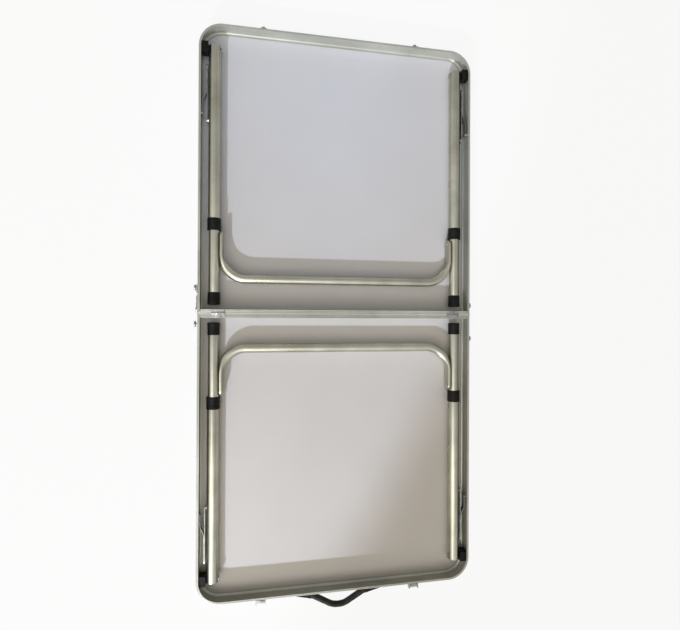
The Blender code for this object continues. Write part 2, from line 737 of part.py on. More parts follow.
def add_lower_tube(half, lower, side):
    """The sliding leg tube, with holes for its snap button and the spreader's rivet."""
    name = f"{half}_{world_side(half, side)}_lower_leg_tube"
    direction = "+X" if side > 0 else "-X"
    end = FOOT_REACH - CAP_SOLE - SEAT_GAP
    profile = tube_profile(LOWER_TUBE_RADIUS, LOWER_TUBE_BORE, LOWER_TUBE_START, end)
    tube = turned(name, lower, profile, (side * LEG_PLACE, 0, 0), "+Y", ring=True,
                  steps=ROUND_STEPS, look="tube")
    outside = LEG_PLACE - LOWER_TUBE_RADIUS - CUT_OVERRUN
    snap_hole = rod(f"{name}_snap_hole", lower, BUTTON_RADIUS + SEAT_GAP, outside, LEG_PLACE,
                    (0, BUTTON_PLACE, 0), direction)
    rivet_hole = rod(f"{name}_rivet_hole", lower, STAY_RIVET + SEAT_GAP, outside, LEG_PLACE,
                     (0, STRIP_START + STRIP_RIVET_SETBACK, 0), direction)
    combine(tube, "DIFFERENCE", [snap_hole, rivet_hole])


def add_foot_cap(half, lower, side):
    """The plastic cap that the leg stands on."""
    name = f"{half}_{world_side(half, side)}_foot_cap"
    bore = LOWER_TUBE_RADIUS + SEAT_GAP
    start = FOOT_REACH - CAP_LENGTH
    floor = FOOT_REACH - CAP_SOLE
    profile = [
        (0, FOOT_REACH),
        (CAP_RADIUS - CAP_EDGE, FOOT_REACH),
        (CAP_RADIUS, FOOT_REACH - CAP_EDGE),
        (CAP_RADIUS - CAP_TAPER, start),
        (bore, start),
        (bore, floor),
        (0, floor),
    ]
    turned(name, lower, profile, (side * LEG_PLACE, 0, 0), "+Y", steps=ROUND_STEPS,
           look="black_plastic")


def add_snap_button(half, lower, side):
    """The V spring inside the lower tube, with the button that stands out through both tubes."""
    name = f"{half}_{world_side(half, side)}_snap_button"
    half_width = SPRING_WIDTH / 2
    reach = math.sqrt(LOWER_TUBE_BORE ** 2 - half_width ** 2) - SEAT_GAP
    inner = reach - SPRING_THICKNESS
    start = BUTTON_PLACE - SPRING_ARM / 2
    knee = BUTTON_PLACE + SPRING_ARM / 2
    tip = BUTTON_PLACE + SPRING_REACH
    fold = SPRING_THICKNESS
    outline = [
        (-reach, start), (-inner, start), (-inner, knee), (0, tip - 2 * fold), (inner, knee),
        (inner, start), (reach, start), (reach, knee), (fold, tip), (-fold, tip), (-reach, knee),
    ]
    at = (side * LEG_PLACE, 0, 0)
    spring = plate(name, lower, [outline], SPRING_WIDTH, at, FLAT, "steel")
    direction = "-X" if side > 0 else "+X"
    sections = [
        (inner + SPRING_THICKNESS / 2, UPPER_TUBE_RADIUS, BUTTON_RADIUS),
        (UPPER_TUBE_RADIUS, UPPER_TUBE_RADIUS + BUTTON_PROUD, BUTTON_RADIUS - BUTTON_PROUD),
    ]
    button = turned(f"{name}_head", lower, stepped(sections), (at[0], BUTTON_PLACE, 0), direction)
    combine(spring, "UNION", [button])


def bar_stations():
    """Stations along half the spreader bar as (across, along, heading, flattened share)."""
    tip = STRIP_HEIGHT / 2
    stations = []
    for share in STRIP_TIP_SHARES:
        first_cut = math.cos(STRIP_TIP_SHARES[0] * math.pi / 2)
        angle = share * math.pi / 2
        along = STRIP_START + tip * (first_cut - math.cos(angle))
        stations.append((STRIP_PLACE, along, 0, 1, tip * math.sin(angle)))
    for step in range(BEND_STEPS + 1):
        heading = math.pi / 2 * step / BEND_STEPS
        raw = (FLATTEN_START - heading) / (FLATTEN_START - FLATTEN_END)
        flat_share = min(max(raw, 0), 1)
        flat_share = flat_share ** 2 * (3 - 2 * flat_share)
        across = BEND_CENTRE + BAR_BEND * math.cos(heading)
        along = BEND_START + BAR_BEND * math.sin(heading)
        height = BAR_RADIUS + (tip - BAR_RADIUS) * flat_share
        stations.append((across, along, heading, flat_share, height))
    return stations


def bar_ring(bm, station):
    """One section of the spreader bar: round, or flat with round edges."""
    across, along, heading, flat_share, height = station
    thick = BAR_RADIUS + (STRIP_THICKNESS / 2 - BAR_RADIUS) * flat_share
    power = 1 - STRIP_SQUARE_SHARE * flat_share
    ring = []
    for step in range(BAR_STEPS):
        angle = 2 * math.pi * (step + HALF_STEP_SHARE) / BAR_STEPS
        out = math.copysign(thick * abs(math.cos(angle)) ** power, math.cos(angle))
        place = (across + out * math.cos(heading), along + out * math.sin(heading),
                 height * math.sin(angle))
        ring.append(bm.verts.new(place))
    return ring


def add_spreader_bar(half, lower):
    """The U-shaped bar between the lower tubes, a loft from round tube to flattened ends."""
    name = f"{half}_spreader_bar"
    right = bar_stations()
    left = [(-across, along, math.pi - heading, flat_share, height)
            for across, along, heading, flat_share, height in reversed(right)]
    bm = bmesh.new()
    rings = [bar_ring(bm, station) for station in right + left]
    bm.faces.new(rings[0])
    bm.faces.new(rings[-1])
    for ring, following in zip(rings, rings[1:]):
        for index in range(BAR_STEPS):
            after = (index + 1) % BAR_STEPS
            bm.faces.new((ring[index], ring[after], following[after], following[index]))
    spreader = add_piece(name, mesh_from(name, bm), lower, (0, 0, 0), look="tube")
    rivets = []
    inner = STRIP_PLACE - STRIP_THICKNESS / 2
    outer = LEG_PLACE - LOWER_TUBE_BORE - SEAT_GAP
    for direction in ("+X", "-X"):
        sections = [(inner - STAY_HEAD_LENGTH, STRIP_PLACE, STAY_HEAD_RADIUS),
                    (STRIP_PLACE, outer, STAY_RIVET)]
        at = (0, STRIP_START + STRIP_RIVET_SETBACK, 0)
        rivets.append(turned(f"{name}_rivet_{direction}", lower, stepped(sections), at, direction))
    combine(spreader, "UNION", rivets)


def joggle(item, offset):
    """Step a link's frame end sideways, over the joggle's length."""
    bm = bmesh.new()
    bm.from_mesh(item.data)
    for place in (-JOGGLE_START, -JOGGLE_START - JOGGLE_LENGTH):
        everything = bm.verts[:] + bm.edges[:] + bm.faces[:]
        bmesh.ops.bisect_plane(bm, geom=everything, plane_co=(place, 0, 0), plane_no=(1, 0, 0))
    for corner in bm.verts:
        if corner.co.x > -JOGGLE_START - JOGGLE_LENGTH / 2:
            corner.co.z += offset
    bm.to_mesh(item.data)
    bm.free()


def add_frame_link(half, anchor, side):
    """The stay link on the frame, joggled from the leg's plane out to the wall."""
    name = f"{half}_{world_side(half, side)}_frame_link"
    hole = circle((0, 0), STAY_RIVET + SEAT_GAP)
    outline = stadium(FRAME_STAY_LENGTH, STAY_HALF_WIDTH)
    link = plate(name, anchor, [outline, hole], STAY_THICKNESS, (side * FRAME_STAY_PLACE, 0, 0),
                 SIDE_PLANE, "steel")
    joggle(link, side * (STAY_ANCHOR_PLACE - FRAME_STAY_PLACE))
    direction = "+X" if side > 0 else "-X"
    outer = FRAME_STAY_PLACE + STAY_THICKNESS / 2 + STAY_HEAD_LENGTH
    head = rod(f"{name}_elbow_head", anchor, STAY_HEAD_RADIUS, FRAME_STAY_PLACE, outer,
               (0, -FRAME_STAY_LENGTH, 0), direction)
    combine(link, "UNION", [head])


def add_leg_link(half, anchor, side):
    """The stay link on the leg."""
    name = f"{half}_{world_side(half, side)}_leg_link"
    hole = circle((0, 0), STAY_RIVET + SEAT_GAP)
    outline = stadium(LEG_STAY_LENGTH, STAY_HALF_WIDTH)
    link = plate(name, anchor, [outline, hole], STAY_THICKNESS, (side * LEG_STAY_PLACE, 0, 0),
                 SIDE_PLANE, "steel")
    direction = "+X" if side > 0 else "-X"
    inner = LEG_STAY_PLACE - STAY_THICKNESS / 2 - STAY_HEAD_LENGTH
    head = rod(f"{name}_elbow_head", anchor, STAY_HEAD_RADIUS, inner, LEG_STAY_PLACE,
               (0, -LEG_STAY_LENGTH, 0), direction)
    combine(link, "UNION", [head])


def add_leg_set(half, tray):
    """Both legs of a half with their spreader and folding stays."""
    leg = pivot(f"{half}_leg_pivot", tray, (0, -LEG_PIVOT_PLACE, PIVOT_HEIGHT))
    lower = pivot(f"{half}_lower_leg_slide", leg, (0, 0, 0))
    frame_anchor = pivot(f"{half}_frame_link_pivot", tray,
                         (0, STAY_FRAME_REACH - LEG_PIVOT_PLACE, PIVOT_HEIGHT))
    leg_anchor = pivot(f"{half}_leg_link_pivot", leg, (0, STAY_LEG_REACH, 0))
    add_spreader_bar(half, lower)
    for side in (-1, 1):
        add_pivot_block(half, tray, side)
        add_pivot_pin(half, tray, side)
        add_upper_tube(half, leg, side)
        add_collar(half, leg, side)
        add_lower_tube(half, lower, side)
        add_foot_cap(half, lower, side)
        add_snap_button(half, lower, side)
        add_frame_link(half, frame_anchor, side)
        add_leg_link(half, leg_anchor, side)


def hook_outline():
    """Side of the hook, from its pivot to its chamfered end, with the notch on top."""
    half_notch = HOOK_NOTCH_WIDTH / 2
    top = HOOK_HALF_WIDTH
    pivot_end = arc((0, 0), HOOK_HALF_WIDTH, math.pi / 2, -math.pi / 2, CORNER_STEPS)
    tip = [
        (HOOK_CHAMFER - HOOK_REACH, -top),
        (-HOOK_REACH, HOOK_CHAMFER - top),
        (-HOOK_REACH, top - HOOK_CHAMFER),
        (HOOK_CHAMFER - HOOK_REACH, top),
        (-HOOK_NOTCH_PLACE - half_notch, top),
    ]
    notch = arc((-HOOK_NOTCH_PLACE, 0), half_notch, math.pi, 2 * math.pi, CORNER_STEPS)
    return pivot_end + tip + notch + [(half_notch - HOOK_NOTCH_PLACE, top)]


def add_side_hook(half, tray):
    """The flat hook that locks the open halves together."""
    name = f"{half}_side_hook"
    anchor = pivot(f"{name}_pivot", tray, (0, -HOOK_PLACE, HOOK_HEIGHT))
    middle = TABLE_WIDTH / 2 + SEAT_GAP + HOOK_THICKNESS / 2
    hole = circle((0, 0), HOOK_RIVET + SEAT_GAP)
    hook = plate(name, anchor, [hook_outline(), hole], HOOK_THICKNESS, (middle, 0, 0), SIDE_PLANE,
                 "steel")
    size = (FINGER_REACH, HOOK_THICKNESS, 2 * FINGER_HALF_WIDTH)
    at = (middle + FINGER_REACH / 2, HOOK_THICKNESS / 2 - HOOK_REACH, 0)
    finger = box(f"{name}_finger", anchor, size, at)
    combine(hook, "UNION", [finger])


def add_latch_bracket(tray, side):
    """Base, ears and pin of a latch on the near end wall."""
    name = f"{world_side('near', side)}_latch_bracket"
    wall = -HALF_LENGTH - SEAT_GAP
    middle = side * LATCH_PLACE
    base_middle = LATCH_PIN_HEIGHT + LATCH_EAR_HEIGHT / 2 - LATCH_BASE_HEIGHT / 2
    outline = round_corners(
        rectangle((-LATCH_BASE_WIDTH / 2, -LATCH_BASE_HEIGHT / 2),
                  (LATCH_BASE_WIDTH / 2, LATCH_BASE_HEIGHT / 2)), PLATE_THICKNESS, COVE_STEPS)
    base = plate(name, tray, [outline], PLATE_THICKNESS,
                 (middle, wall - PLATE_THICKNESS / 2, base_middle), END_PLANE, "steel")
    ear_middle = LATCH_BASE_WIDTH / 2 - LATCH_EAR_WIDTH / 2 - SEAT_GAP
    size = (LATCH_EAR_WIDTH, LATCH_EAR_REACH - PLATE_THICKNESS / 2, LATCH_EAR_HEIGHT - SEAT_GAP)
    ear_y = wall - PLATE_THICKNESS / 2 - size[1] / 2
    ears = []
    for ear_side in (-1, 1):
        at = (middle + ear_side * ear_middle, ear_y, LATCH_PIN_HEIGHT)
        ears.append(box(f"{name}_ear_{ear_side}", tray, size, at))
    pin = rod(f"{name}_pin", tray, LATCH_PIN_RADIUS, -ear_middle, ear_middle,
              (middle, -HALF_LENGTH - LATCH_PIN_REACH, LATCH_PIN_HEIGHT), "+X")
    combine(base, "UNION", ears + [pin])


def add_latch_arm(tray, side):
    """The latch arm: a barrel on the bracket's pin, a slotted plate and a finger tab."""
    name = f"{world_side('near', side)}_latch_arm"
    anchor = pivot(f"{name}_pivot", tray,
                   (side * LATCH_PLACE, -HALF_LENGTH - LATCH_PIN_REACH, LATCH_PIN_HEIGHT))
    half_arm = LATCH_ARM_WIDTH / 2
    length = LATCH_THROW + LATCH_ARM_TIP
    outline = rectangle((-half_arm, -length), (half_arm, -LATCH_BORE))
    half_slot = LATCH_SLOT_WIDTH / 2
    slot_top = LATCH_SLOT_HEIGHT / 2 - LATCH_THROW
    slot = rectangle((-half_slot, slot_top - LATCH_SLOT_HEIGHT), (half_slot, slot_top))
    arm = plate(name, anchor, [outline, slot], LATCH_ARM_THICKNESS, (0, 0, 0), END_PLANE, "steel")
    half_barrel = LATCH_BASE_WIDTH / 2 - LATCH_EAR_WIDTH - 2 * SEAT_GAP
    barrel = rod(f"{name}_barrel", anchor, LATCH_BARREL, -half_barrel, half_barrel, (0, 0, 0), "+X")
    size = (LATCH_ARM_WIDTH, LATCH_TAB_REACH, LATCH_ARM_THICKNESS)
    tab = box(f"{name}_tab", anchor, size,
              (0, -LATCH_TAB_REACH / 2, LATCH_ARM_THICKNESS / 2 - length))
    combine(arm, "UNION", [barrel, tab])
    bore = rod(f"{name}_bore", anchor, LATCH_BORE, -half_barrel - CUT_OVERRUN,
               half_barrel + CUT_OVERRUN, (0, 0, 0), "+X")
    combine(arm, "DIFFERENCE", [bore])


def add_keeper(tray, side):
    """The plate and tab that a latch arm drops over when the case is shut."""
    name = f"{world_side('far', side)}_latch_keeper"
    wall = -HALF_LENGTH - SEAT_GAP
    middle = side * LATCH_PLACE
    outline = round_corners(
        rectangle((-KEEPER_WIDTH / 2, -KEEPER_BASE_HEIGHT / 2),
                  (KEEPER_WIDTH / 2, KEEPER_BASE_HEIGHT / 2)), PLATE_THICKNESS, COVE_STEPS)
    base = plate(name, tray, [outline], PLATE_THICKNESS,
                 (middle, wall - PLATE_THICKNESS / 2, KEEPER_HEIGHT), END_PLANE, "steel")
    reach = KEEPER_TAB_REACH + PLATE_THICKNESS / 2
    size = (KEEPER_TAB_WIDTH, reach, PLATE_THICKNESS)
    tab = box(f"{name}_tab", tray, size,
              (middle, wall - PLATE_THICKNESS / 2 - reach / 2, KEEPER_HEIGHT))
    combine(base, "UNION", [tab])


def add_handle_bracket(tray, side):
    """A plate and housing on the near end wall, whose ear and stub pin carry the handle."""
    name = f"{world_side('near', side)}_handle_bracket"
    wall = -HALF_LENGTH - SEAT_GAP
    inner = HANDLE_BARREL_OUTER + SEAT_GAP
    half_height = HANDLE_PLATE_HEIGHT / 2
    low, high = sorted((side * inner, side * HANDLE_PLATE_END))
    outline = round_corners(rectangle((low, -half_height), (high, half_height)),
                            HANDLE_PLATE_ROUND, COVE_STEPS)
    base = plate(name, tray, [outline], PLATE_THICKNESS,
                 (0, wall - PLATE_THICKNESS / 2, HANDLE_HEIGHT), END_PLANE, "black_plastic")
    ear_back = wall - PLATE_THICKNESS / 2
    ear_front = -HALF_LENGTH - HANDLE_PIN_REACH
    tip = arc((ear_front, 0), HANDLE_EAR_ROUND, math.pi / 2, 3 * math.pi / 2, CORNER_STEPS)
    ear_outline = [(ear_back, -HANDLE_EAR_ROUND), (ear_back, HANDLE_EAR_ROUND)] + tip
    ear = plate(f"{name}_ear", tray, [ear_outline], HANDLE_EAR_WIDTH,
                (side * (inner + HANDLE_EAR_WIDTH / 2), 0, HANDLE_HEIGHT), SIDE_PLANE)
    direction = "+X" if side > 0 else "-X"
    pin = rod(f"{name}_pin", tray, HANDLE_PIN, HANDLE_PIN_INNER, inner + HANDLE_EAR_WIDTH / 2,
              (0, ear_front, HANDLE_HEIGHT), direction)
    housing_start = side * (inner + HANDLE_EAR_WIDTH / 2)
    housing_outline = [
        (housing_start, ear_back), (housing_start, -HALF_LENGTH - HOUSING_REACH),
        (side * HOUSING_END, -HALF_LENGTH - HOUSING_TIP_REACH), (side * HOUSING_END, ear_back),
    ]
    housing = plate(f"{name}_housing", tray, [housing_outline], 2 * HANDLE_EAR_ROUND - SEAT_GAP,
                    (0, 0, HANDLE_HEIGHT), FLAT)
    combine(base, "UNION", [ear, housing, pin])


def add_handle(tray):
    """The arched grip, which swings on the brackets' stub pins."""
    anchor = pivot("handle_pivot", tray, (0, -HALF_LENGTH - HANDLE_PIN_REACH, HANDLE_HEIGHT))
    drop = HANDLE_REACH - HANDLE_PIN_REACH - HANDLE_RADIUS
    corners = [(HANDLE_SPAN, 0), (HANDLE_FLAT, -drop), (-HANDLE_FLAT, -drop), (-HANDLE_SPAN, 0)]
    route = round_corners(corners, HANDLE_BEND, CORNER_STEPS, closed=False)
    grip = bar("handle_grip", anchor, route, HANDLE_RADIUS, (0, 0, 0), "handle_plastic")
    barrels = []
    bores = []
    for direction in ("+X", "-X"):
        barrels.append(rod(f"handle_barrel_{direction}", anchor, HANDLE_RADIUS, HANDLE_BARREL_INNER,
                           HANDLE_BARREL_OUTER, (0, 0, 0), direction))
        bores.append(rod(f"handle_bore_{direction}", anchor, HANDLE_BORE,
                         HANDLE_PIN_INNER - SEAT_GAP, HANDLE_BARREL_OUTER + CUT_OVERRUN, (0, 0, 0),
                         direction))
    combine(grip, "UNION", barrels)
    combine(grip, "DIFFERENCE", bores)


def add_half(half, turn):
    """One half of the table; the far half is the near one turned about the middle."""
    carrier = pivot(f"{half}_half", None, (0, FOLD_LINE, FOLD_HEIGHT), (0, 0, turn))
    tray = pivot(f"{half}_tray", carrier, (0, 0, -FOLD_HEIGHT))
    add_edge_frame(half, tray)
    add_hinge_rail(half, tray)
    add_board(half, tray)
    add_leg_set(half, tray)
    add_side_hook(half, tray)
    for side in (-1, 1):
        add_hinge_leaf(half, tray, side)
    return tray


def build_table():
    """Both halves, then what only one of them carries."""
    clear_scene()
    near = add_half("near", 0)
    far = add_half("far", math.pi)
    add_handle(near)
    for side in (-1, 1):
        add_handle_bracket(near, side)
        add_latch_bracket(near, side)
        add_latch_arm(near, side)
        add_keeper(far, side)


build_table()
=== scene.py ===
import json
from math import atan2, copysign, cos, pi, radians, remainder, sin, sqrt, tan

import bmesh
import bpy
from mathutils import Matrix, Vector


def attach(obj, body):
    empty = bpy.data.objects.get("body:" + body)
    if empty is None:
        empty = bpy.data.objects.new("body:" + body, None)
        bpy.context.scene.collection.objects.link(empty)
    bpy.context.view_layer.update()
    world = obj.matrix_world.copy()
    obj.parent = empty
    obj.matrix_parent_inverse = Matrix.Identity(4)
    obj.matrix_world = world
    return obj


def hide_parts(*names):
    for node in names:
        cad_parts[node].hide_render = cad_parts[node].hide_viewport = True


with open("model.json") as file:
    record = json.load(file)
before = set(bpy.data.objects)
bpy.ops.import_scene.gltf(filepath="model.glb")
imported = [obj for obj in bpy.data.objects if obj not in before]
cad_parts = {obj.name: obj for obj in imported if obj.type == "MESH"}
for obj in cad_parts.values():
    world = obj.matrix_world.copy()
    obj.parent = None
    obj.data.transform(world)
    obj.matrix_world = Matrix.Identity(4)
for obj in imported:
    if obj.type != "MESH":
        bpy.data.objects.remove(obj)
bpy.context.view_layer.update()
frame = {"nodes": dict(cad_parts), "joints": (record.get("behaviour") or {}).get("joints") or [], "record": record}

RECORD = frame["record"]
JOINTS = {joint["name"]: joint for joint in frame["joints"]}
BODY_OF = {node: body for body, nodes in RECORD["behaviour"]["bodies"].items() for node in nodes}
SLOT_OF = {entry["node"]: entry["material_slot"] for entry in RECORD["subparts"]}

# Sizes of the model that the pieces here follow, in metres
TABLE_WIDTH = 0.600
HALF_LENGTH = 0.600
RIM_HEIGHT = 0.035
CORNER_RADIUS = 0.050
SEAT_GAP = 0.0003
FRAME_BULGE = 0.0015
FRAME_WALL_LINE = 0.0029
RAIL_WALL = 0.0020
LIP_REACH = 0.009
LIP_THICKNESS = 0.001
LEDGE_THICKNESS = 0.0012
LEDGE_FLAT = 0.0003
LEDGE_TOP = 0.0058
COVE_RADIUS = 0.005
RIM_THICKNESS = 0.0012
RIM_FOLD = 0.0024
FRAME_RIM_WIDTH = 0.0045
RIM_BEAD = 0.0014
RAIL_BEAD = 0.0009
RAIL_RIM_WIDTH = 0.0085
FOLD_HEIGHT = 0.03635
LEAF_PLACE = 0.257
LEAF_WIDTH = 0.027
LEAF_THICKNESS = 0.0009
BARREL_RADIUS = 0.0022
BARREL_PIN = 0.0012
BARREL_RELIEF = 0.0026
KNUCKLE_WIDTH = 0.0096
LEG_PLACE = 0.2675
LEG_PIVOT_PLACE = 0.551
PIVOT_HEIGHT = 0.0185
PIVOT_PIN_RADIUS = 0.003
PIVOT_HEAD_RADIUS = 0.005
PIVOT_HEAD_LENGTH = 0.002
UPPER_RADIUS = 0.0125
UPPER_WALL = 0.0012
LOWER_RADIUS = 0.0110
LOWER_WALL = 0.0011
TUBE_OVERHANG = 0.00652
FOOT_REACH = 0.5325
LOWER_TUBE_SHOWN = 0.1575
UPPER_REACH = FOOT_REACH - LOWER_TUBE_SHOWN
COLLAR_OVERLAP = 0.0225
COLLAR_LENGTH = 0.0255
COLLAR_START = UPPER_REACH - COLLAR_OVERLAP
COLLAR_END = COLLAR_START + COLLAR_LENGTH
COLLAR_RADIUS = 0.014
EXTENSION = 0.094
HOLE_COLLAR_GAP = 0.0095
BUTTON_PLACE = COLLAR_START - HOLE_COLLAR_GAP - EXTENSION
BUTTON_RADIUS = 0.0035
LOWER_TUBE_TAIL = 0.028
LOWER_START = BUTTON_PLACE - LOWER_TUBE_TAIL
CAP_SOLE = 0.003
BAR_RADIUS = 0.0095
BAR_BEND = 0.052
BAR_FOOT_SETBACK = 0.0545
BEND_START = FOOT_REACH - BAR_FOOT_SETBACK - BAR_BEND
STRIP_THICKNESS = 0.0075
STRIP_HEIGHT = 0.025
STRIP_PLACE = 0.25245
STRIP_COLLAR_GAP = 0.003
STRIP_START = COLLAR_END + STRIP_COLLAR_GAP
STRIP_RIVET = 0.008
FLATTEN_START = radians(40)
FLATTEN_END = radians(8)
WALL_INSIDE = 0.2971
TUBE_SIDE = LEG_PLACE + UPPER_RADIUS
STAY_FRAME_REACH = 0.133
STAY_LEG_REACH = 0.148
STAY_ELBOW = 0.037618
STAY_THICKNESS = 0.0015
STAY_HALF_WIDTH = 0.006
STAY_BOSS = 0.0015
STAY_RIVET = 0.0022
STAY_HEAD_RADIUS = 0.004
STAY_HEAD_LENGTH = 0.0012
LEG_STAY_PLACE = 0.28255
FRAME_STAY_PLACE = 0.28445
STAY_ANCHOR_PLACE = 0.29255
JOGGLE_START = 0.020
JOGGLE_LENGTH = 0.022
HOOK_PLACE = 0.009
HOOK_HEIGHT = 0.020
HOOK_REACH = 0.051
HOOK_HALF_WIDTH = 0.007
HOOK_THICKNESS = 0.0018
HOOK_CHAMFER = 0.003
HOOK_NOTCH_PLACE = 0.0306
HOOK_NOTCH_WIDTH = 0.008
HOOK_RIVET = 0.0025
HOOK_HEAD_RADIUS = 0.005
HOOK_HEAD_LENGTH = 0.0016
KNOB_SETBACK = 0.0060
STUD_PLACE = 0.0216
LATCH_PLACE = 0.168
LATCH_BASE_MIDDLE = 0.027
KEEPER_HEIGHT = 0.025
PLATE_THICKNESS = 0.0015
HANDLE_REACH = 0.041
HANDLE_HEIGHT = 0.0175
HANDLE_PIN_REACH = 0.0095
HANDLE_RADIUS = 0.0065
HANDLE_FLAT = 0.012
HANDLE_SPAN = 0.0565
HANDLE_BEND = 0.040
HANDLE_BARREL_INNER = 0.0515
HANDLE_BARREL_OUTER = 0.0620
HANDLE_BORE = 0.0023

# Small forms that the dressed pieces add, in metres. A PLATE is the flat part of a head below its
# dome; a groove is (place, width) and the housing's slope goes between two (across, reach) points
FRAME_GROOVES = [(0.003615, 0.0008)]
RAIL_GROOVES = [(0.0026, 0.0007), (0.0056, 0.0007)]
RELIEF_MARGIN = 0.001
LEAF_CORNER = 0.0012
LEAF_HOLE = 0.0016
LEAF_RIVETS = (-0.0085, 0.0085)
LEAF_RIVET_SETBACK = 0.0058
WALL_OVERLAP = 0.0005
PIN_ROOT = 0.001
ANCHOR_PLATE = 0.0004
BOSS_PLATE = 0.0003
BOSS_ROOT = 0.00096
HOOK_PLATE = 0.0006
PIVOT_PLATE = 0.0008
PIVOT_PIN_DEPTH = 0.012
STAY_DOME_RADIUS = 0.94 * STAY_HEAD_RADIUS
HOOK_DOME_RADIUS = 0.94 * HOOK_HEAD_RADIUS
PIVOT_DOME_RADIUS = 0.92 * PIVOT_HEAD_RADIUS
DOME_SINK = 0.0003
TAIL_RADIUS = 1.3 * STAY_RIVET
TAIL_HEIGHT = 0.0007
TAIL_SINK = 0.0001
HOLE_REACH = 1.1 * UPPER_RADIUS
COLLAR_CHAMFER = 0.0006
COLLAR_NOSE = 0.00072
COLLAR_BACK = 0.00042
COLLAR_BANDS = (0.00561, 0.00867, 0.01173, 0.01479)
BUTTON_RISE = 0.0012
BUTTON_SINK = 0.0004
LATCH_RIVETS = (-0.0035, 0.0035)
LATCH_RIVET_RADIUS = 0.0017
KEEPER_RIVETS = (-0.0055, 0.0055)
KEEPER_RIVET_RADIUS = 0.0016
PLATE_RIVET_HEIGHT = 0.0007
SCREW_RADIUS = 0.0026
SCREW_HEIGHT = 0.0011
RECESS_REACH = 0.0014
RECESS_HALF_WIDTH = 0.0003
RECESS_FLOOR = 0.0004
RECESS_TOP = 0.002
GRIP_SEAM = 0.0003
GRIP_POINT_GAP = 0.0012
HANDLE_SCREWS = (0.072, 0.086)
HANDLE_TAIL_HEIGHT = 0.0009
HOUSING_SLOPE = ((0.0638, 0.0125), (0.092, 0.006))

# Shares: of a dome's height, of a quarter turn, of an edge's length and of the grip's radius; the
# places, widths and pitch of the grip's bands and waves are shares of its length
DOME_SKIRT = 0.3
TIP_START = 0.35
STRIP_SQUARENESS = 0.6
CORNER_ROOM = 0.49
GRIP_SHARE = 0.985
GRIP_BAND_SHARE = 0.90
GRIP_WAVE_DEPTH = 0.035
GRIP_BANDS = (0.26, 0.74)
GRIP_BAND_HALF_WIDTH = 0.006
GRIP_WAVE_PITCH = 0.12

# Profiles of turned pieces as (radius, height over the wall or plate). The cap's second number is
# the distance from its sole, and a band's numbers are its depth and the distance along the collar
STUD_PROFILE = [(0, 0.0059), (0.002275, 0.0059), (0.002925, 0.0065), (0.0052, 0.0065),
                (0.0065, 0.0053), (0.0065, 0.0037), (0.00559, 0.0027), (0.0025, 0.0027),
                (0.0025, 0.0004), (0.00375, 0.0001), (0.00375, -0.001), (0, -0.001)]
KNOB_PROFILE = [(0, 0.005), (0.0036, 0.005), (0.00552, 0.00435), (0.006, 0.00325), (0.006, 0.0021),
                (0.0054, 0.0014), (0.0033, 0.0011), (0.0033, -0.00045), (0, -0.00045)]
LEAF_RIVET_PROFILE = [(0, 0.00008), (0.0007, 0.00008), (0.0009, -0.0001), (0.00155, -0.0001),
                      (0.00155, -0.0012), (0, -0.0012)]
CAP_PROFILE = [(0, 0.0008), (0.00585, 0.0008), (0.0065, 0), (0.0117, 0), (0.013, 0.0013),
               (0.013, 0.0052), (0.0126, 0.0057), (0.0125, 0.0254), (0.012, 0.026), (0.0113, 0.026),
               (0.0113, CAP_SOLE), (0, CAP_SOLE)]
BAND_PROFILE = [(0, 0), (0.0003, 0.0004), (0.0003, 0.0010), (0, 0.0014)]

# Fineness of the smooth surfaces
TURN_STEPS = 64
PIN_STEPS = 32
CORNER_STEPS = 24
END_STEPS = 14
EDGE_STEPS = 3
BULGE_STEPS = 12
BEAD_STEPS = 5
COVE_STEPS = 8
DOME_STEPS = 6
FORM_STEPS = 48
LEAF_RIVET_STEPS = 24
LEAF_CORNER_STEPS = 5
TIP_STEPS = 10
BEND_STEPS = 28
BAR_STEPS = 44
JOGGLE_STEPS = 8
GRIP_STEPS = 40
GRIP_BEND_STEPS = 18

# Rounding and welding in metres, and angles in degrees from which an edge is rounded or sharp
EDGE_ROUND = 0.00025
FORM_ROUND = 0.0003
PLATE_ROUND = 0.0003
LEAF_ROUND = 0.00015
KNUCKLE_ROUND = 0.0002
BARREL_ROUND = 0.0008
HOUSING_ROUND = 0.0009
BLOCK_ROUND = 0.0008
WELD_DISTANCE = 0.000005
CORNER_ANGLE = 20
BEVEL_ANGLE = 30
SHARP = 35
SECTION_SHARP = 28
SOFT_SHARP = 50

# The photograph's camera
IMAGE_WIDTH = 680
FOCAL_PIXELS = 460
SENSOR_WIDTH = 36
CAMERA_FROM_FOLD = (-0.1868, -0.0049, 0.9759)
CAMERA_TURN_DEGREES = (0.16, -10.71, 0.29)
NEAR_CLIP = 0.01

# The room's light by direction, what shows of the room, the floor, and where the panels point
ROOM_BRIGHT_WAY = (-0.45, -0.75, 0.45)
ROOM_STOPS = [(0.0, (0.04, 0.035, 0.028)), (0.5, (0.18, 0.158, 0.12)), (1.0, (0.89, 0.79, 0.64))]
SEEN_STOPS = [(0.0, (0.44, 0.44, 0.44)), (0.5, (0.58, 0.57, 0.55)), (0.85, (1.0, 0.99, 0.97))]
SEEN_HORIZON = (0.97, 0.97, 0.965)
HORIZON_RISE = 0.45
FLOOR_COLOUR = (0.80, 0.80, 0.80)
FLOOR_GLOW_SHARE = 0.90
FLOOR_REACH = 12
FLOOR_DROP = 0.0005
PANEL_TARGET = (-0.1, -0.3, 0)

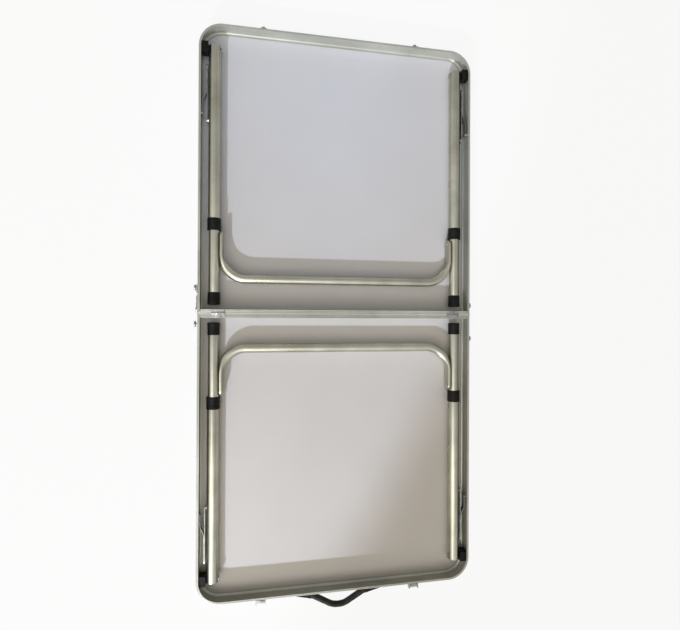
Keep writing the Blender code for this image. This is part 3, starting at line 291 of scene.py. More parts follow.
# Finishes: fields of noise, the tone by one field, darker wear by others with its share, the
# field and range of the roughness, and the depths of the bumps in metres
WHITE = (1, 1, 1)
PLASTIC = dict(specular=0.15, wear=[],
               fields=dict(rubs=dict(scale=60.0, detail=5.0), grain=dict(scale=1400.0, detail=2.0)))
FINISHES = {
    "frame": dict(
        name="frame_aluminium", base=(0.57, 0.58, 0.53), roughness=0.34, metallic=0.45,
        fields=dict(clouds=dict(scale=9.0), stains=dict(scale=70.0, detail=6.0),
                    lines=dict(scale=1800.0, detail=3.0, stretch=(0, 0, 1), attribute="line"),
                    grain=dict(scale=1100.0, detail=2.0)),
        tone=("clouds", [(0.30, (0.42, 0.43, 0.385)), (0.70, (0.57, 0.58, 0.53))]),
        wear=[("lines", [(0.30, (0.80, 0.80, 0.80)), (0.60, WHITE)], 0.8),
              ("stains", [(0.28, (0.80, 0.79, 0.75)), (0.42, WHITE)], 0.45)],
        sheen=("stains", 0.28, 0.50), bumps=[("lines", 0.00004), ("grain", 0.00002)]),
    "tube": dict(
        name="tube_aluminium", base=(0.58, 0.575, 0.495), roughness=0.28, metallic=1.0,
        fields=dict(clouds=dict(scale=16.0), rubs=dict(scale=28.0, detail=5.0),
                    lines=dict(scale=420.0, attribute="line")),
        tone=("clouds", [(0.30, (0.44, 0.435, 0.365)), (0.70, (0.58, 0.575, 0.495))]),
        wear=[("rubs", [(0.25, (0.84, 0.83, 0.79)), (0.52, WHITE)], 0.6),
              ("lines", [(0.36, (0.66, 0.65, 0.60)), (0.56, WHITE)], 0.8)],
        sheen=("rubs", 0.22, 0.38), bumps=[("lines", 0.00003)]),
    "hardware": dict(
        name="zinc_steel", base=(0.50, 0.50, 0.48), roughness=0.32, metallic=1.0,
        fields=dict(clouds=dict(scale=90.0, detail=6.0), grain=dict(scale=700.0),
                    spangle=dict(scale=420.0, cells=True)),
        tone=("clouds", [(0.32, (0.27, 0.27, 0.26)), (0.62, (0.50, 0.50, 0.48))]),
        wear=[("spangle", [(0.2, (0.86, 0.86, 0.86)), (0.8, WHITE)], 0.7)],
        sheen=("clouds", 0.24, 0.48), bumps=[("grain", 0.00002)]),
    "board": dict(
        name="board_laminate", base=(0.68, 0.68, 0.70), roughness=0.40, specular=0.45,
        fields=dict(clouds=dict(scale=5.0, detail=6.0),
                    scuffs=dict(scale=55.0, detail=8.0, stretch=(6, 1, 1)),
                    grain=dict(scale=260.0, detail=2.0)),
        tone=("clouds", [(0.25, (0.675, 0.67, 0.685)), (0.75, (0.715, 0.715, 0.73))]),
        wear=[("scuffs", [(0.24, (0.86, 0.85, 0.84)), (0.34, WHITE)], 0.5)],
        sheen=("scuffs", 0.30, 0.48), bumps=[("grain", 0.00005)]),
    "black": dict(
        PLASTIC, name="black_plastic", base=(0.0045, 0.0045, 0.004), roughness=0.42,
        tone=("rubs", [(0.45, (0.0045, 0.0045, 0.004)), (0.78, (0.012, 0.012, 0.011))]),
        sheen=("rubs", 0.336, 0.546), bumps=[("grain", 0.00003)]),
    "handle": dict(
        PLASTIC, name="handle_plastic", base=(0.022, 0.025, 0.019), roughness=0.46,
        tone=("rubs", [(0.45, (0.022, 0.025, 0.019)), (0.78, (0.055, 0.058, 0.046))]),
        sheen=("rubs", 0.368, 0.598), bumps=[("grain", 0.00004)]),
}

HALVES = ("near", "far")
SIDES = (-1, 1)
FOLD_LINE = JOINTS["table_fold"]["pos_m"][1]
HALF_TURN = {"near": 0, "far": pi}
SIDE_PLANE = Matrix(((0, 0, 1, 0), (1, 0, 0, 0), (0, 1, 0, 0), (0, 0, 0, 1)))


def tray(half):
    """From a half's own frame, with the fold along X and the tray towards -Y, to the model's."""
    return shift(0, FOLD_LINE, 0) @ Matrix.Rotation(HALF_TURN[half], 4, "Z")


def leg_frame(half):
    """From a leg's frame, with its pivot at the origin and its foot towards +Y, to the model's."""
    return tray(half) @ shift(0, -LEG_PIVOT_PLACE, PIVOT_HEIGHT)


def shift(x, y, z):
    """A move as a matrix."""
    return Matrix.Translation((x, y, z))


def world_side(half, side):
    """Left or right as seen from above, for a side of one half."""
    facing = side if half == "near" else -side
    return "right" if facing > 0 else "left"


def towards(direction, x, y, z):
    """Turn +Y to a named direction, then go to a place."""
    turns = {
        "+X": Matrix.Rotation(-pi / 2, 4, "Z"), "-X": Matrix.Rotation(pi / 2, 4, "Z"),
        "+Y": Matrix.Identity(4), "-Y": Matrix.Rotation(pi, 4, "Z"),
        "+Z": Matrix.Rotation(pi / 2, 4, "X"),
    }
    return shift(x, y, z) @ turns[direction]


def sideways(side, x, y, z):
    """Turn +Y away from the middle, for a side, then go to a place."""
    return towards("+X" if side > 0 else "-X", x, y, z)


# Materials


def add_node(tree, kind):
    """A new node of a tree."""
    return tree.nodes.new("ShaderNode" + kind)


def new_material(name, base, roughness, metallic=0.0, specular=0.5):
    """A Principled material, with its node tree and shader."""
    made = bpy.data.materials.new(name)
    made.use_nodes = True
    tree = made.node_tree
    shader = tree.nodes["Principled BSDF"]
    shader.inputs["Base Color"].default_value = (*base, 1)
    shader.inputs["Roughness"].default_value = roughness
    shader.inputs["Metallic"].default_value = metallic
    shader.inputs["Specular IOR Level"].default_value = specular
    return made, tree, shader


def noise(tree, scale, detail=4.0, stretch=(1, 1, 1), attribute=None, cells=False):
    """Noise or cells in the piece's own coordinates, or along an attribute of the mesh."""
    mapping = add_node(tree, "Mapping")
    mapping.inputs["Scale"].default_value = stretch
    if attribute:
        source = add_node(tree, "Attribute")
        source.attribute_name = attribute
        tree.links.new(source.outputs["Vector"], mapping.inputs["Vector"])
    else:
        source = add_node(tree, "TexCoord")
        tree.links.new(source.outputs["Object"], mapping.inputs["Vector"])
    texture = add_node(tree, "TexVoronoi" if cells else "TexNoise")
    texture.inputs["Scale"].default_value = scale
    tree.links.new(mapping.outputs["Vector"], texture.inputs["Vector"])
    if cells:
        return texture.outputs["Color"]
    texture.inputs["Detail"].default_value = detail
    return texture.outputs["Fac"]


def ramp(tree, factor, stops):
    """A colour ramp over (place, colour) stops."""
    node = add_node(tree, "ValToRGB")
    while len(node.color_ramp.elements) < len(stops):
        node.color_ramp.elements.new(0.5)
    for element, (place, colour) in zip(node.color_ramp.elements, stops):
        element.position = place
        element.color = (*colour, 1)
    tree.links.new(factor, node.inputs["Fac"])
    return node.outputs["Color"]


def spread(tree, factor, low, high):
    """Spread a 0 to 1 factor over a range of values."""
    node = add_node(tree, "MapRange")
    node.inputs["To Min"].default_value = low
    node.inputs["To Max"].default_value = high
    tree.links.new(factor, node.inputs["Value"])
    return node.outputs["Result"]


def multiply(tree, one, other, share):
    """Multiply two colours, by a share."""
    node = add_node(tree, "Mix")
    node.data_type = "RGBA"
    node.blend_type = "MULTIPLY"
    node.inputs["Factor"].default_value = share
    tree.links.new(one, node.inputs["A"])
    tree.links.new(other, node.inputs["B"])
    return node.outputs["Result"]


def bump(tree, shader, height, distance):
    """Bump a shader's surface by a height, on top of any bump that is there already."""
    node = add_node(tree, "Bump")
    node.inputs["Distance"].default_value = distance
    tree.links.new(height, node.inputs["Height"])
    if shader.inputs["Normal"].is_linked:
        tree.links.new(shader.inputs["Normal"].links[0].from_socket, node.inputs["Normal"])
    tree.links.new(node.outputs["Normal"], shader.inputs["Normal"])


def make_finish(name, base, roughness, fields, tone, wear, sheen, bumps, **shine):
    """A worn surface: tone, darker wear, roughness and bumps that follow fields of noise."""
    made, tree, shader = new_material(name, base, roughness, **shine)
    made_fields = {field: noise(tree, **settings) for field, settings in fields.items()}
    field, stops = tone
    colour = ramp(tree, made_fields[field], stops)
    for field, stops, share in wear:
        colour = multiply(tree, colour, ramp(tree, made_fields[field], stops), share)
    tree.links.new(colour, shader.inputs["Base Color"])
    field, low, high = sheen
    tree.links.new(spread(tree, made_fields[field], low, high), shader.inputs["Roughness"])
    for field, depth in bumps:
        bump(tree, shader, made_fields[field], depth)
    return made


# Mesh tools


def new_object(name, data):
    """An object with this data, linked into the scene."""
    item = bpy.data.objects.new(name, data)
    bpy.context.scene.collection.objects.link(item)
    return item


def piece(name, bm, body, slot, node=None, smooth=SHARP, bevel=0):
    """Finish a working mesh as a visible piece that rides on a body."""
    bmesh.ops.recalc_face_normals(bm, faces=bm.faces)
    data = mesh_from(name, bm)
    data.shade_smooth()
    data.set_sharp_from_angle(angle=radians(smooth))
    item = new_object(name, data)
    data.materials.append(MATERIALS[slot])
    if bevel:
        step = item.modifiers.new("edges", "BEVEL")
        step.width = bevel
        step.segments = EDGE_STEPS
        step.limit_method = "ANGLE"
        step.angle_limit = radians(BEVEL_ANGLE)
        step.harden_normals = True
    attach(item, body)
    if node:
        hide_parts(node)
    return item


def mesh_from(name, bm):
    """A mesh from a working mesh, which is freed."""
    data = bpy.data.meshes.new(name)
    bm.to_mesh(data)
    bm.free()
    return data


def move(bm, matrix):
    """Transform a working mesh and give it back."""
    bmesh.ops.transform(bm, matrix=matrix, verts=bm.verts)
    return bm


def join(bm, *others):
    """Add working meshes to another and free them."""
    for other in others:
        data = mesh_from("joined", other)
        bm.from_mesh(data)
        bpy.data.meshes.remove(data)
    return bm


def arc(centre, radius, first, last, steps):
    """Points along an arc, from the first angle to the last."""
    points = []
    for step in range(steps + 1):
        angle = first + (last - first) * step / steps
        points.append((centre[0] + radius * cos(angle), centre[1] + radius * sin(angle)))
    return points


def ease(share):
    """A share held between 0 and 1, with a soft start and end."""
    held = min(max(share, 0), 1)
    return held ** 2 * (3 - 2 * held)


def circle(centre, radius):
    """A closed ring of points."""
    return arc(centre, radius, 0, 2 * pi, PIN_STEPS)[:-1]


def round_corners(outline, radius, steps=EDGE_STEPS, closed=True):
    """Swap the corners of an outline for arcs, smaller where an edge is short."""
    points = []
    count = len(outline)
    for index, corner in enumerate(outline):
        if not closed and index in (0, count - 1):
            points.append(corner)
            continue
        before = Vector(outline[index - 1])
        after = Vector(outline[(index + 1) % count])
        here = Vector(corner)
        way_in = atan2(here.y - before.y, here.x - before.x)
        way_out = atan2(after.y - here.y, after.x - here.x)
        bend = remainder(way_out - way_in, 2 * pi)
        if abs(bend) < radians(CORNER_ANGLE):
            points.append(corner)
            continue
        room = CORNER_ROOM * min((here - before).length, (after - here).length)
        fitted = min(radius, room / tan(abs(bend) / 2))
        setback = fitted * tan(abs(bend) / 2)
        side = copysign(pi / 2, bend)
        start = here - setback * Vector((cos(way_in), sin(way_in)))
        centre = start + fitted * Vector((cos(way_in + side), sin(way_in + side)))
        points += arc(centre, fitted, way_in - side, way_in + bend - side, steps)
    return points


def skin(bm, pairs):
    """Faces between pairs of loops, or fans where a loop is one point."""
    for low, high in pairs:
        for index in range(len(low)):
            after = (index + 1) % len(low)
            corners = []
            for corner in (low[index], low[after], high[after], high[index]):
                if corner not in corners:
                    corners.append(corner)
            if len(corners) > 2:
                bm.faces.new(corners)


def turned(profile, ring=False, steps=TURN_STEPS, round_edges=EDGE_ROUND):
    """A turned mesh about +Y from (radius, along) points; an open profile ends on the axis."""
    profile = round_corners(profile, round_edges, closed=ring) if round_edges else profile
    bm = bmesh.new()
    line = bm.verts.layers.float_vector.new("line")
    loops = []
    for radius, along in profile:
        if radius == 0:
            loops.append([bm.verts.new((0, along, 0))] * steps)
            continue
        loop = []
        for step in range(steps):
            angle = 2 * pi * step / steps
            corner = bm.verts.new((radius * cos(angle), along, radius * sin(angle)))
            corner[line] = (corner.co.x, 0, corner.co.z)
            loop.append(corner)
        loops.append(loop)
    pairs = list(zip(loops, loops[1:]))
    if ring:
        pairs.append((loops[-1], loops[0]))
    skin(bm, pairs)
    return bm


def tube_ring(radius, wall, start, end, **fineness):
    """A straight tube about +Y, from its start to its end."""
    bore = radius - wall
    profile = [(radius, end), (radius, start), (bore, start), (bore, end)]
    return turned(profile, ring=True, **fineness)


def stepped(sections, round_edges=EDGE_ROUND, steps=PIN_STEPS):
    """A turned pin whose (start, end, radius) sections follow each other."""
    profile = [(0, sections[-1][1])]
    for start, end, radius in reversed(sections):
        profile += [(radius, end), (radius, start)]
    profile.append((0, sections[0][0]))
    return turned(profile, steps=steps, round_edges=round_edges)


def dome(radius, height, sink=DOME_SINK):
    """A domed rivet head that stands on the plane across +Y, sunk a little into it."""
    profile = [(0, height)]
    for step in range(1, DOME_STEPS + 1):
        angle = pi / 2 * step / DOME_STEPS
        rise = DOME_SKIRT + (1 - DOME_SKIRT) * cos(angle)
        profile.append((radius * sin(angle), height * rise))
    profile += [(radius, -sink), (0, -sink)]
    return turned(profile, steps=PIN_STEPS, round_edges=0)


def headed_pin(sections, radius, height, at_start=False):
    """A stepped pin with a domed head on its end, or on its start."""
    place = towards("-Y", 0, sections[0][0], 0) if at_start else shift(0, sections[-1][1], 0)
    return join(stepped(sections), move(dome(radius, height), place))


def rivet(name, place, radius, height, body, sink=DOME_SINK):
    """A domed rivet head as a piece of its own."""
    return piece(name, move(dome(radius, height, sink), place), body, "hardware")


def block(low, high):
    """A box between two corners."""
    bm = bmesh.new()
    bmesh.ops.create_cube(bm, size=1)
    bmesh.ops.scale(bm, vec=[b - a for a, b in zip(low, high)], verts=bm.verts)
    return move(bm, Matrix.Translation([(a + b) / 2 for a, b in zip(low, high)]))


def sheet_metal(outlines, thickness, edge=PLATE_ROUND):
    """A flat plate about its middle plane with softened edges; later outlines are holes."""
    curve = bpy.data.curves.new("plate", "CURVE")
    curve.dimensions = "2D"
    curve.fill_mode = "BOTH"
    curve.extrude = thickness / 2 - edge
    curve.bevel_depth = edge
    curve.bevel_resolution = 1
    curve.offset = -edge
    for outline in outlines:
        spline = curve.splines.new("POLY")
        spline.points.add(len(outline) - 1)
        for point, (across, along) in zip(spline.points, outline):
            point.co = (across, along, 0, 1)
        spline.use_cyclic_u = True
    carrier = new_object("plate", curve)
    graph = bpy.context.evaluated_depsgraph_get()
    raw = bpy.data.meshes.new_from_object(carrier.evaluated_get(graph))
    bpy.data.objects.remove(carrier)
    bm = bmesh.new()
    bm.from_mesh(raw)
    bmesh.ops.remove_doubles(bm, verts=bm.verts, dist=WELD_DISTANCE)
    bpy.data.meshes.remove(raw)
    bpy.data.curves.remove(curve)
    return bm


def cut(item, *holes):
    """Cut working meshes out of a piece and apply the cuts."""
    for hole in holes:
        bmesh.ops.recalc_face_normals(hole, faces=hole.faces)
        data = mesh_from("hole", hole)
        cutter = new_object("hole", data)
        step = item.modifiers.new("hole", "BOOLEAN")
        step.object = cutter
        step.solver = "EXACT"
        graph = bpy.context.evaluated_depsgraph_get()
        made = bpy.data.meshes.new_from_object(item.evaluated_get(graph))
        item.modifiers.clear()
        old = item.data
        item.data = made
        bpy.data.meshes.remove(old)
        bpy.data.objects.remove(cutter)
        bpy.data.meshes.remove(data)
    item.data.set_sharp_from_angle(angle=radians(SHARP))


def soften(node, width):
    """A copy of a solid with its edges rounded, which stands for it."""
    source = frame["nodes"][node]
    bm = bmesh.new()
    bm.from_mesh(source.data)
    bmesh.ops.remove_doubles(bm, verts=bm.verts, dist=WELD_DISTANCE)
    bmesh.ops.dissolve_limit(bm, angle_limit=radians(1), verts=bm.verts, edges=bm.edges)
    return piece(f"{node}_soft", bm, BODY_OF[node], SLOT_OF[node], node, SHARP, width)


# Table halves


def edge_section(bulge, bead, wall, rim_width, grooves):
    """Section of the edge extrusion as (inward, up) points, with grooves along its rim."""
    points = []
    steps = BULGE_STEPS if bulge else 1
    straight = 1 - bead / RIM_HEIGHT
    for step in range(steps + 1):
        height_share = straight * step / steps
        swell_share = 1 - (2 * height_share - 1) ** 2
        points.append((bulge * (1 - swell_share), RIM_HEIGHT * height_share))
    centre = (points[-1][0] + bead, RIM_HEIGHT - bead)
    points += arc(centre, bead, pi, pi / 2, BEAD_STEPS)[1:]
    floor = RIM_HEIGHT - RIM_THICKNESS / 2
    for start, width in grooves:
        points += [(start, RIM_HEIGHT), (start, floor)]
        points += [(start + width, floor), (start + width, RIM_HEIGHT)]
    rim_edge = bulge + rim_width
    points += [(rim_edge, RIM_HEIGHT), (rim_edge, RIM_HEIGHT - RIM_FOLD)]
    points += [(rim_edge - RIM_THICKNESS, RIM_HEIGHT - RIM_FOLD)]
    points += [(rim_edge - RIM_THICKNESS, RIM_HEIGHT - RIM_THICKNESS)]
    points += [(wall, RIM_HEIGHT - RIM_THICKNESS)]
    points += arc((wall + COVE_RADIUS, LEDGE_TOP + COVE_RADIUS), COVE_RADIUS, pi,
                  3 * pi / 2, COVE_STEPS)
    edge = wall + COVE_RADIUS + LEDGE_FLAT
    points += [(edge, LEDGE_TOP), (edge, LEDGE_TOP - LEDGE_THICKNESS)]
    points += [(wall, LEDGE_TOP - LEDGE_THICKNESS), (wall, LIP_THICKNESS)]
    points += [(LIP_REACH, LIP_THICKNESS), (LIP_REACH, 0)]
    return round_corners(points, EDGE_ROUND)


def loft(rings, marks=None):
    """A closed skin over rings of points, with a line attribute that runs round each ring."""
    bm = bmesh.new()
    line = bm.verts.layers.float_vector.new("line")
    made = []
    if not marks:
        marks = [(0, 0, 0)]
        for one, other in zip(rings[0], rings[0][1:]):
            marks.append((0, 0, marks[-1][2] + (Vector(other) - Vector(one)).length))
    for ring in rings:
        corners = [bm.verts.new(point) for point in ring]
        for corner, mark in zip(corners, marks):
            corner[line] = mark
        made.append(corners)
    bm.faces.new(made[0])
    bm.faces.new(made[-1])
    skin(bm, zip(made, made[1:]))
    return bm


def add_edge_frame(half):
    """The bent extrusion of one half, with its rivets and stud."""
    side = TABLE_WIDTH / 2
    mitre = SEAT_GAP * (1 + 1 / sqrt(2))
    section = edge_section(FRAME_BULGE, RIM_BEAD, FRAME_WALL_LINE, FRAME_RIM_WIDTH, FRAME_GROOVES)
    rings = [[(inside - side, -(mitre + inside), up) for inside, up in section]]
    for way, first in ((-1, pi), (1, 3 * pi / 2)):
        centre = (way * (side - CORNER_RADIUS), CORNER_RADIUS - HALF_LENGTH)
        for step in range(CORNER_STEPS + 1):
            angle = first + pi / 2 * step / CORNER_STEPS
            rings.append([(centre[0] + (CORNER_RADIUS - inside) * cos(angle),
                           centre[1] + (CORNER_RADIUS - inside) * sin(angle), up)
                          for inside, up in section])
    rings.append([(side - inside, -(mitre + inside), up) for inside, up in section])
    body = f"{half}_half"
    piece(f"{half}_edge", move(loft(rings), tray(half)), body, "frame", f"{half}_edge_frame",
          SECTION_SHARP)
    anchor = STAY_FRAME_REACH - LEG_PIVOT_PLACE
    outer = STAY_ANCHOR_PLACE + STAY_THICKNESS / 2 + SEAT_GAP
    inner = STAY_ANCHOR_PLACE - STAY_THICKNESS / 2 - SEAT_GAP
    for way in SIDES:
        named = f"{half}_{world_side(half, way)}"
        sections = [(inner - ANCHOR_PLATE, inner, STAY_HEAD_RADIUS), (inner, outer, STAY_RIVET),
                    (outer, WALL_INSIDE + WALL_OVERLAP, STAY_HEAD_RADIUS)]
        pin = headed_pin(sections, STAY_DOME_RADIUS, STAY_HEAD_LENGTH - ANCHOR_PLATE, at_start=True)
        place = tray(half) @ sideways(way, 0, anchor, PIVOT_HEIGHT)
        piece(f"{named}_stay_rivet", move(pin, place), body, "hardware")
        place = tray(half) @ sideways(way, way * (side - TAIL_SINK), anchor, PIVOT_HEIGHT)
        rivet(f"{named}_stay_rivet_tail", place, TAIL_RADIUS, TAIL_HEIGHT, body)
    under = side + 2 * SEAT_GAP + HOOK_THICKNESS
    sections = [(side - PIN_ROOT, under, HOOK_RIVET), (under, under + HOOK_PLATE, HOOK_HEAD_RADIUS)]
    pin = headed_pin(sections, HOOK_DOME_RADIUS, HOOK_HEAD_LENGTH - HOOK_PLATE)
    place = tray(half) @ towards("+X", 0, -HOOK_PLACE, HOOK_HEIGHT)
    piece(f"{half}_hook_rivet", move(pin, place), body, "hardware")
    stud = turned([(radius, side + rise) for radius, rise in STUD_PROFILE], steps=FORM_STEPS,
                  round_edges=FORM_ROUND)
    place = tray(half) @ towards("-X", 0, -STUD_PLACE, HOOK_HEIGHT)
    piece(f"{half}_stud", move(stud, place), body, "hardware")


def add_hinge_rail(half):
    """The extrusion along the fold, with grooves along its rim and relief for the knuckles."""
    side = TABLE_WIDTH / 2
    mitre = SEAT_GAP / sqrt(2)
    section = edge_section(0, RAIL_BEAD, RAIL_WALL, RAIL_RIM_WIDTH, RAIL_GROOVES)
    rings = [[(way * (side - inside - mitre), -(SEAT_GAP + inside), up) for inside, up in section]
             for way in SIDES]
    rail = piece(f"{half}_rail", move(loft(rings), tray(half)), f"{half}_half", "frame",
                 f"{half}_hinge_rail", SECTION_SHARP)
    reliefs = []
    reach = LEAF_WIDTH / 2 + RELIEF_MARGIN
    for way in SIDES:
        tool = stepped([(-reach, reach, BARREL_RELIEF)], round_edges=0)
        reliefs.append(move(tool, tray(half) @ towards("+X", way * LEAF_PLACE, 0, FOLD_HEIGHT)))
    cut(rail, *reliefs)


def add_hinge_leaf(half, way):
    """A leaf on the rail's rim with its knuckles and two countersunk rivets."""
    name = f"{half}_{world_side(half, way)}"
    edge = LEAF_WIDTH / 2
    back = SEAT_GAP + RAIL_RIM_WIDTH
    gap = BARREL_RADIUS + SEAT_GAP
    middle = KNUCKLE_WIDTH / 2
    if half == "far":
        outline = [(-edge, -back), (edge, -back), (edge, -gap), (middle, -gap), (middle, 0),
                   (-middle, 0), (-middle, -gap), (-edge, -gap)]
        spans = [(-middle, middle, BARREL_RADIUS)]
    else:
        inner = middle + SEAT_GAP
        outline = [(-edge, -back), (edge, -back), (edge, 0), (inner, 0), (inner, -gap),
                   (-inner, -gap), (-inner, 0), (-edge, 0)]
        spans = [(-edge, -inner, BARREL_RADIUS), (-inner, inner, BARREL_PIN),
                 (inner, edge, BARREL_RADIUS)]
    outline = round_corners(outline, LEAF_CORNER, LEAF_CORNER_STEPS)
    holes = [circle((across, -LEAF_RIVET_SETBACK), LEAF_HOLE) for across in LEAF_RIVETS]
    top = RIM_HEIGHT + SEAT_GAP + LEAF_THICKNESS
    leaf = move(sheet_metal([outline] + holes, LEAF_THICKNESS, LEAF_ROUND),
                shift(0, 0, top - LEAF_THICKNESS / 2))
    knuckles = move(stepped(spans, KNUCKLE_ROUND), towards("+X", 0, 0, FOLD_HEIGHT))
    place = tray(half) @ shift(way * LEAF_PLACE, 0, 0)
    piece(f"{name}_leaf", move(join(leaf, knuckles), place), f"{half}_half", "hardware",
          f"{name}_hinge_leaf")
    for index, across in enumerate(LEAF_RIVETS):
        sunk = turned(LEAF_RIVET_PROFILE, steps=LEAF_RIVET_STEPS, round_edges=0)
        place = tray(half) @ towards("+Z", way * LEAF_PLACE + across, -LEAF_RIVET_SETBACK, top)
        piece(f"{name}_leaf_rivet_{index}", move(sunk, place), f"{half}_half", "hardware")


# Legs


def button_hole(half, way, along):
    """A tool for the hole of a snap button in the inner side of a leg's tube."""
    tool = stepped([(0, HOLE_REACH, BUTTON_RADIUS + SEAT_GAP)], 0)
    return move(tool, leg_frame(half) @ sideways(-way, way * LEG_PLACE, along, 0))


def add_leg(half, way):
    """The turned pieces of one leg, with its pivot pin."""
    named = f"{half}_{world_side(half, way)}"
    at = leg_frame(half)
    place = at @ shift(way * LEG_PLACE, 0, 0)
    legs = f"{half}_legs"
    lower = f"{half}_lower_legs"

    under = LEG_PLACE - UPPER_RADIUS - SEAT_GAP
    pin = headed_pin([(under - PIVOT_PLATE, under, PIVOT_HEAD_RADIUS),
                      (under, TUBE_SIDE + PIVOT_PIN_DEPTH, PIVOT_PIN_RADIUS)],
                     PIVOT_DOME_RADIUS, PIVOT_HEAD_LENGTH - PIVOT_PLATE, at_start=True)
    piece(f"{named}_pin", move(pin, at @ sideways(way, 0, 0, 0)), f"{half}_half",
          "hardware", f"{named}_pivot_pin")

    tube = tube_ring(UPPER_RADIUS, UPPER_WALL, -TUBE_OVERHANG, UPPER_REACH)
    item = piece(f"{named}_upper_tube", move(tube, place), legs, "tube", f"{named}_upper_leg_tube")
    pin_hole = move(stepped([(-HOLE_REACH, HOLE_REACH, PIVOT_PIN_RADIUS + SEAT_GAP)], 0),
                    at @ sideways(way, way * LEG_PLACE, 0, 0))
    cut(item, pin_hole, button_hole(half, way, BUTTON_PLACE),
        button_hole(half, way, BUTTON_PLACE + EXTENSION))
    top = TUBE_SIDE + STAY_BOSS
    over = top + STAY_THICKNESS + 2 * SEAT_GAP
    boss = headed_pin([(TUBE_SIDE - BOSS_ROOT, top, STAY_HEAD_RADIUS), (top, over, STAY_RIVET),
                       (over, over + BOSS_PLATE, STAY_HEAD_RADIUS)],
                      STAY_DOME_RADIUS, STAY_HEAD_LENGTH - BOSS_PLATE)
    boss_place = at @ sideways(way, 0, STAY_LEG_REACH, 0)
    piece(f"{named}_stay_boss", move(boss, boss_place), legs, "hardware")

    tube = tube_ring(LOWER_RADIUS, LOWER_WALL, LOWER_START, FOOT_REACH - CAP_SOLE - SEAT_GAP)
    item = piece(f"{named}_lower_tube", move(tube, place), lower, "tube", f"{named}_lower_leg_tube")
    cut(item, button_hole(half, way, BUTTON_PLACE))

    guide = LOWER_RADIUS + SEAT_GAP
    socket = UPPER_RADIUS + SEAT_GAP
    stop = UPPER_REACH + SEAT_GAP
    profile = [(COLLAR_RADIUS - COLLAR_CHAMFER, COLLAR_END),
               (COLLAR_RADIUS, COLLAR_END - COLLAR_NOSE)]
    for start in COLLAR_BANDS:
        profile += [(COLLAR_RADIUS - depth, COLLAR_END - start - along)
                    for depth, along in BAND_PROFILE]
    profile += [(COLLAR_RADIUS, COLLAR_START + COLLAR_CHAMFER),
                (COLLAR_RADIUS - COLLAR_BACK, COLLAR_START),
                (socket, COLLAR_START), (socket, stop), (guide, stop), (guide, COLLAR_END)]
    piece(f"{named}_collar", move(turned(profile, ring=True), place), legs, "black",
          f"{named}_leg_collar")

    profile = [(radius, FOOT_REACH - up) for radius, up in CAP_PROFILE]
    piece(f"{named}_cap", move(turned(profile), place), lower, "black", f"{named}_foot_cap")
    face = way * (LEG_PLACE - UPPER_RADIUS - BUTTON_SINK)
    rivet(f"{named}_button_head", at @ sideways(-way, face, BUTTON_PLACE, 0), BUTTON_RADIUS,
          BUTTON_RISE, lower, BUTTON_SINK)


def bar_stations():
    """Stations along half the spreader bar as (across, along, heading, flattened share, height)."""
    tip = STRIP_HEIGHT / 2
    stations = []
    first_cut = cos(TIP_START * pi / 2)
    for step in range(TIP_STEPS + 1):
        angle = (TIP_START + (1 - TIP_START) * step / TIP_STEPS) * pi / 2
        along = STRIP_START + tip * (first_cut - cos(angle))
        stations.append((STRIP_PLACE, along, 0, 1, tip * sin(angle)))
    for step in range(BEND_STEPS + 1):
        heading = pi / 2 * step / BEND_STEPS
        flat_share = ease((FLATTEN_START - heading) / (FLATTEN_START - FLATTEN_END))
        height = BAR_RADIUS + (tip - BAR_RADIUS) * flat_share
        stations.append((STRIP_PLACE - BAR_BEND + BAR_BEND * cos(heading),
                         BEND_START + BAR_BEND * sin(heading), heading, flat_share, height))
    return stations


def add_spreader_bar(half):
    """The bent tube between the lower legs, flattened at its ends, with its rivets."""
    right = bar_stations()
    left = [(-across, along, pi - heading, share, height)
            for across, along, heading, share, height in reversed(right)]
    rings = []
    for across, along, heading, share, height in right + left:
        thick = BAR_RADIUS + (STRIP_THICKNESS / 2 - BAR_RADIUS) * share
        power = 1 - STRIP_SQUARENESS * share
        ring = []
        for step in range(BAR_STEPS):
            angle = 2 * pi * (step + 0.5) / BAR_STEPS
            out = copysign(thick * abs(cos(angle)) ** power, cos(angle))
            ring.append((across + out * cos(heading), along + out * sin(heading),
                         height * sin(angle)))
        rings.append(ring)
    at = leg_frame(half)
    lower = f"{half}_lower_legs"
    marks = [(x, 0, z) for x, z in arc((0, 0), BAR_RADIUS, 0, 2 * pi, BAR_STEPS)[:-1]]
    piece(f"{half}_spreader", move(loft(rings, marks), at), lower, "tube", f"{half}_spreader_bar",
          SOFT_SHARP)
    inner = STRIP_PLACE - STRIP_THICKNESS / 2
    for way in SIDES:
        rivet(f"{half}_{world_side(half, way)}_spreader_rivet",
              at @ sideways(-way, way * inner, STRIP_START + STRIP_RIVET, 0),
              STAY_HEAD_RADIUS, STAY_HEAD_LENGTH, lower)


def stadium(length):
    """Outline of a stay link, from its pivot at the origin towards -X."""
    near_end = arc((0, 0), STAY_HALF_WIDTH, -pi / 2, pi / 2, END_STEPS)
    far_end = arc((-length, 0), STAY_HALF_WIDTH, pi / 2, 3 * pi / 2, END_STEPS)
    return near_end + far_end


def joggle(link, offset):
    """Bend a flat link sideways over a short run near its pivot."""
    for step in range(JOGGLE_STEPS + 1):
        plane = -JOGGLE_START - JOGGLE_LENGTH * step / JOGGLE_STEPS
        everything = link.verts[:] + link.edges[:] + link.faces[:]
        bmesh.ops.bisect_plane(link, geom=everything, plane_co=(plane, 0, 0), plane_no=(1, 0, 0))
    for corner in link.verts:
        corner.co.z += offset * ease((corner.co.x + JOGGLE_START + JOGGLE_LENGTH) / JOGGLE_LENGTH)


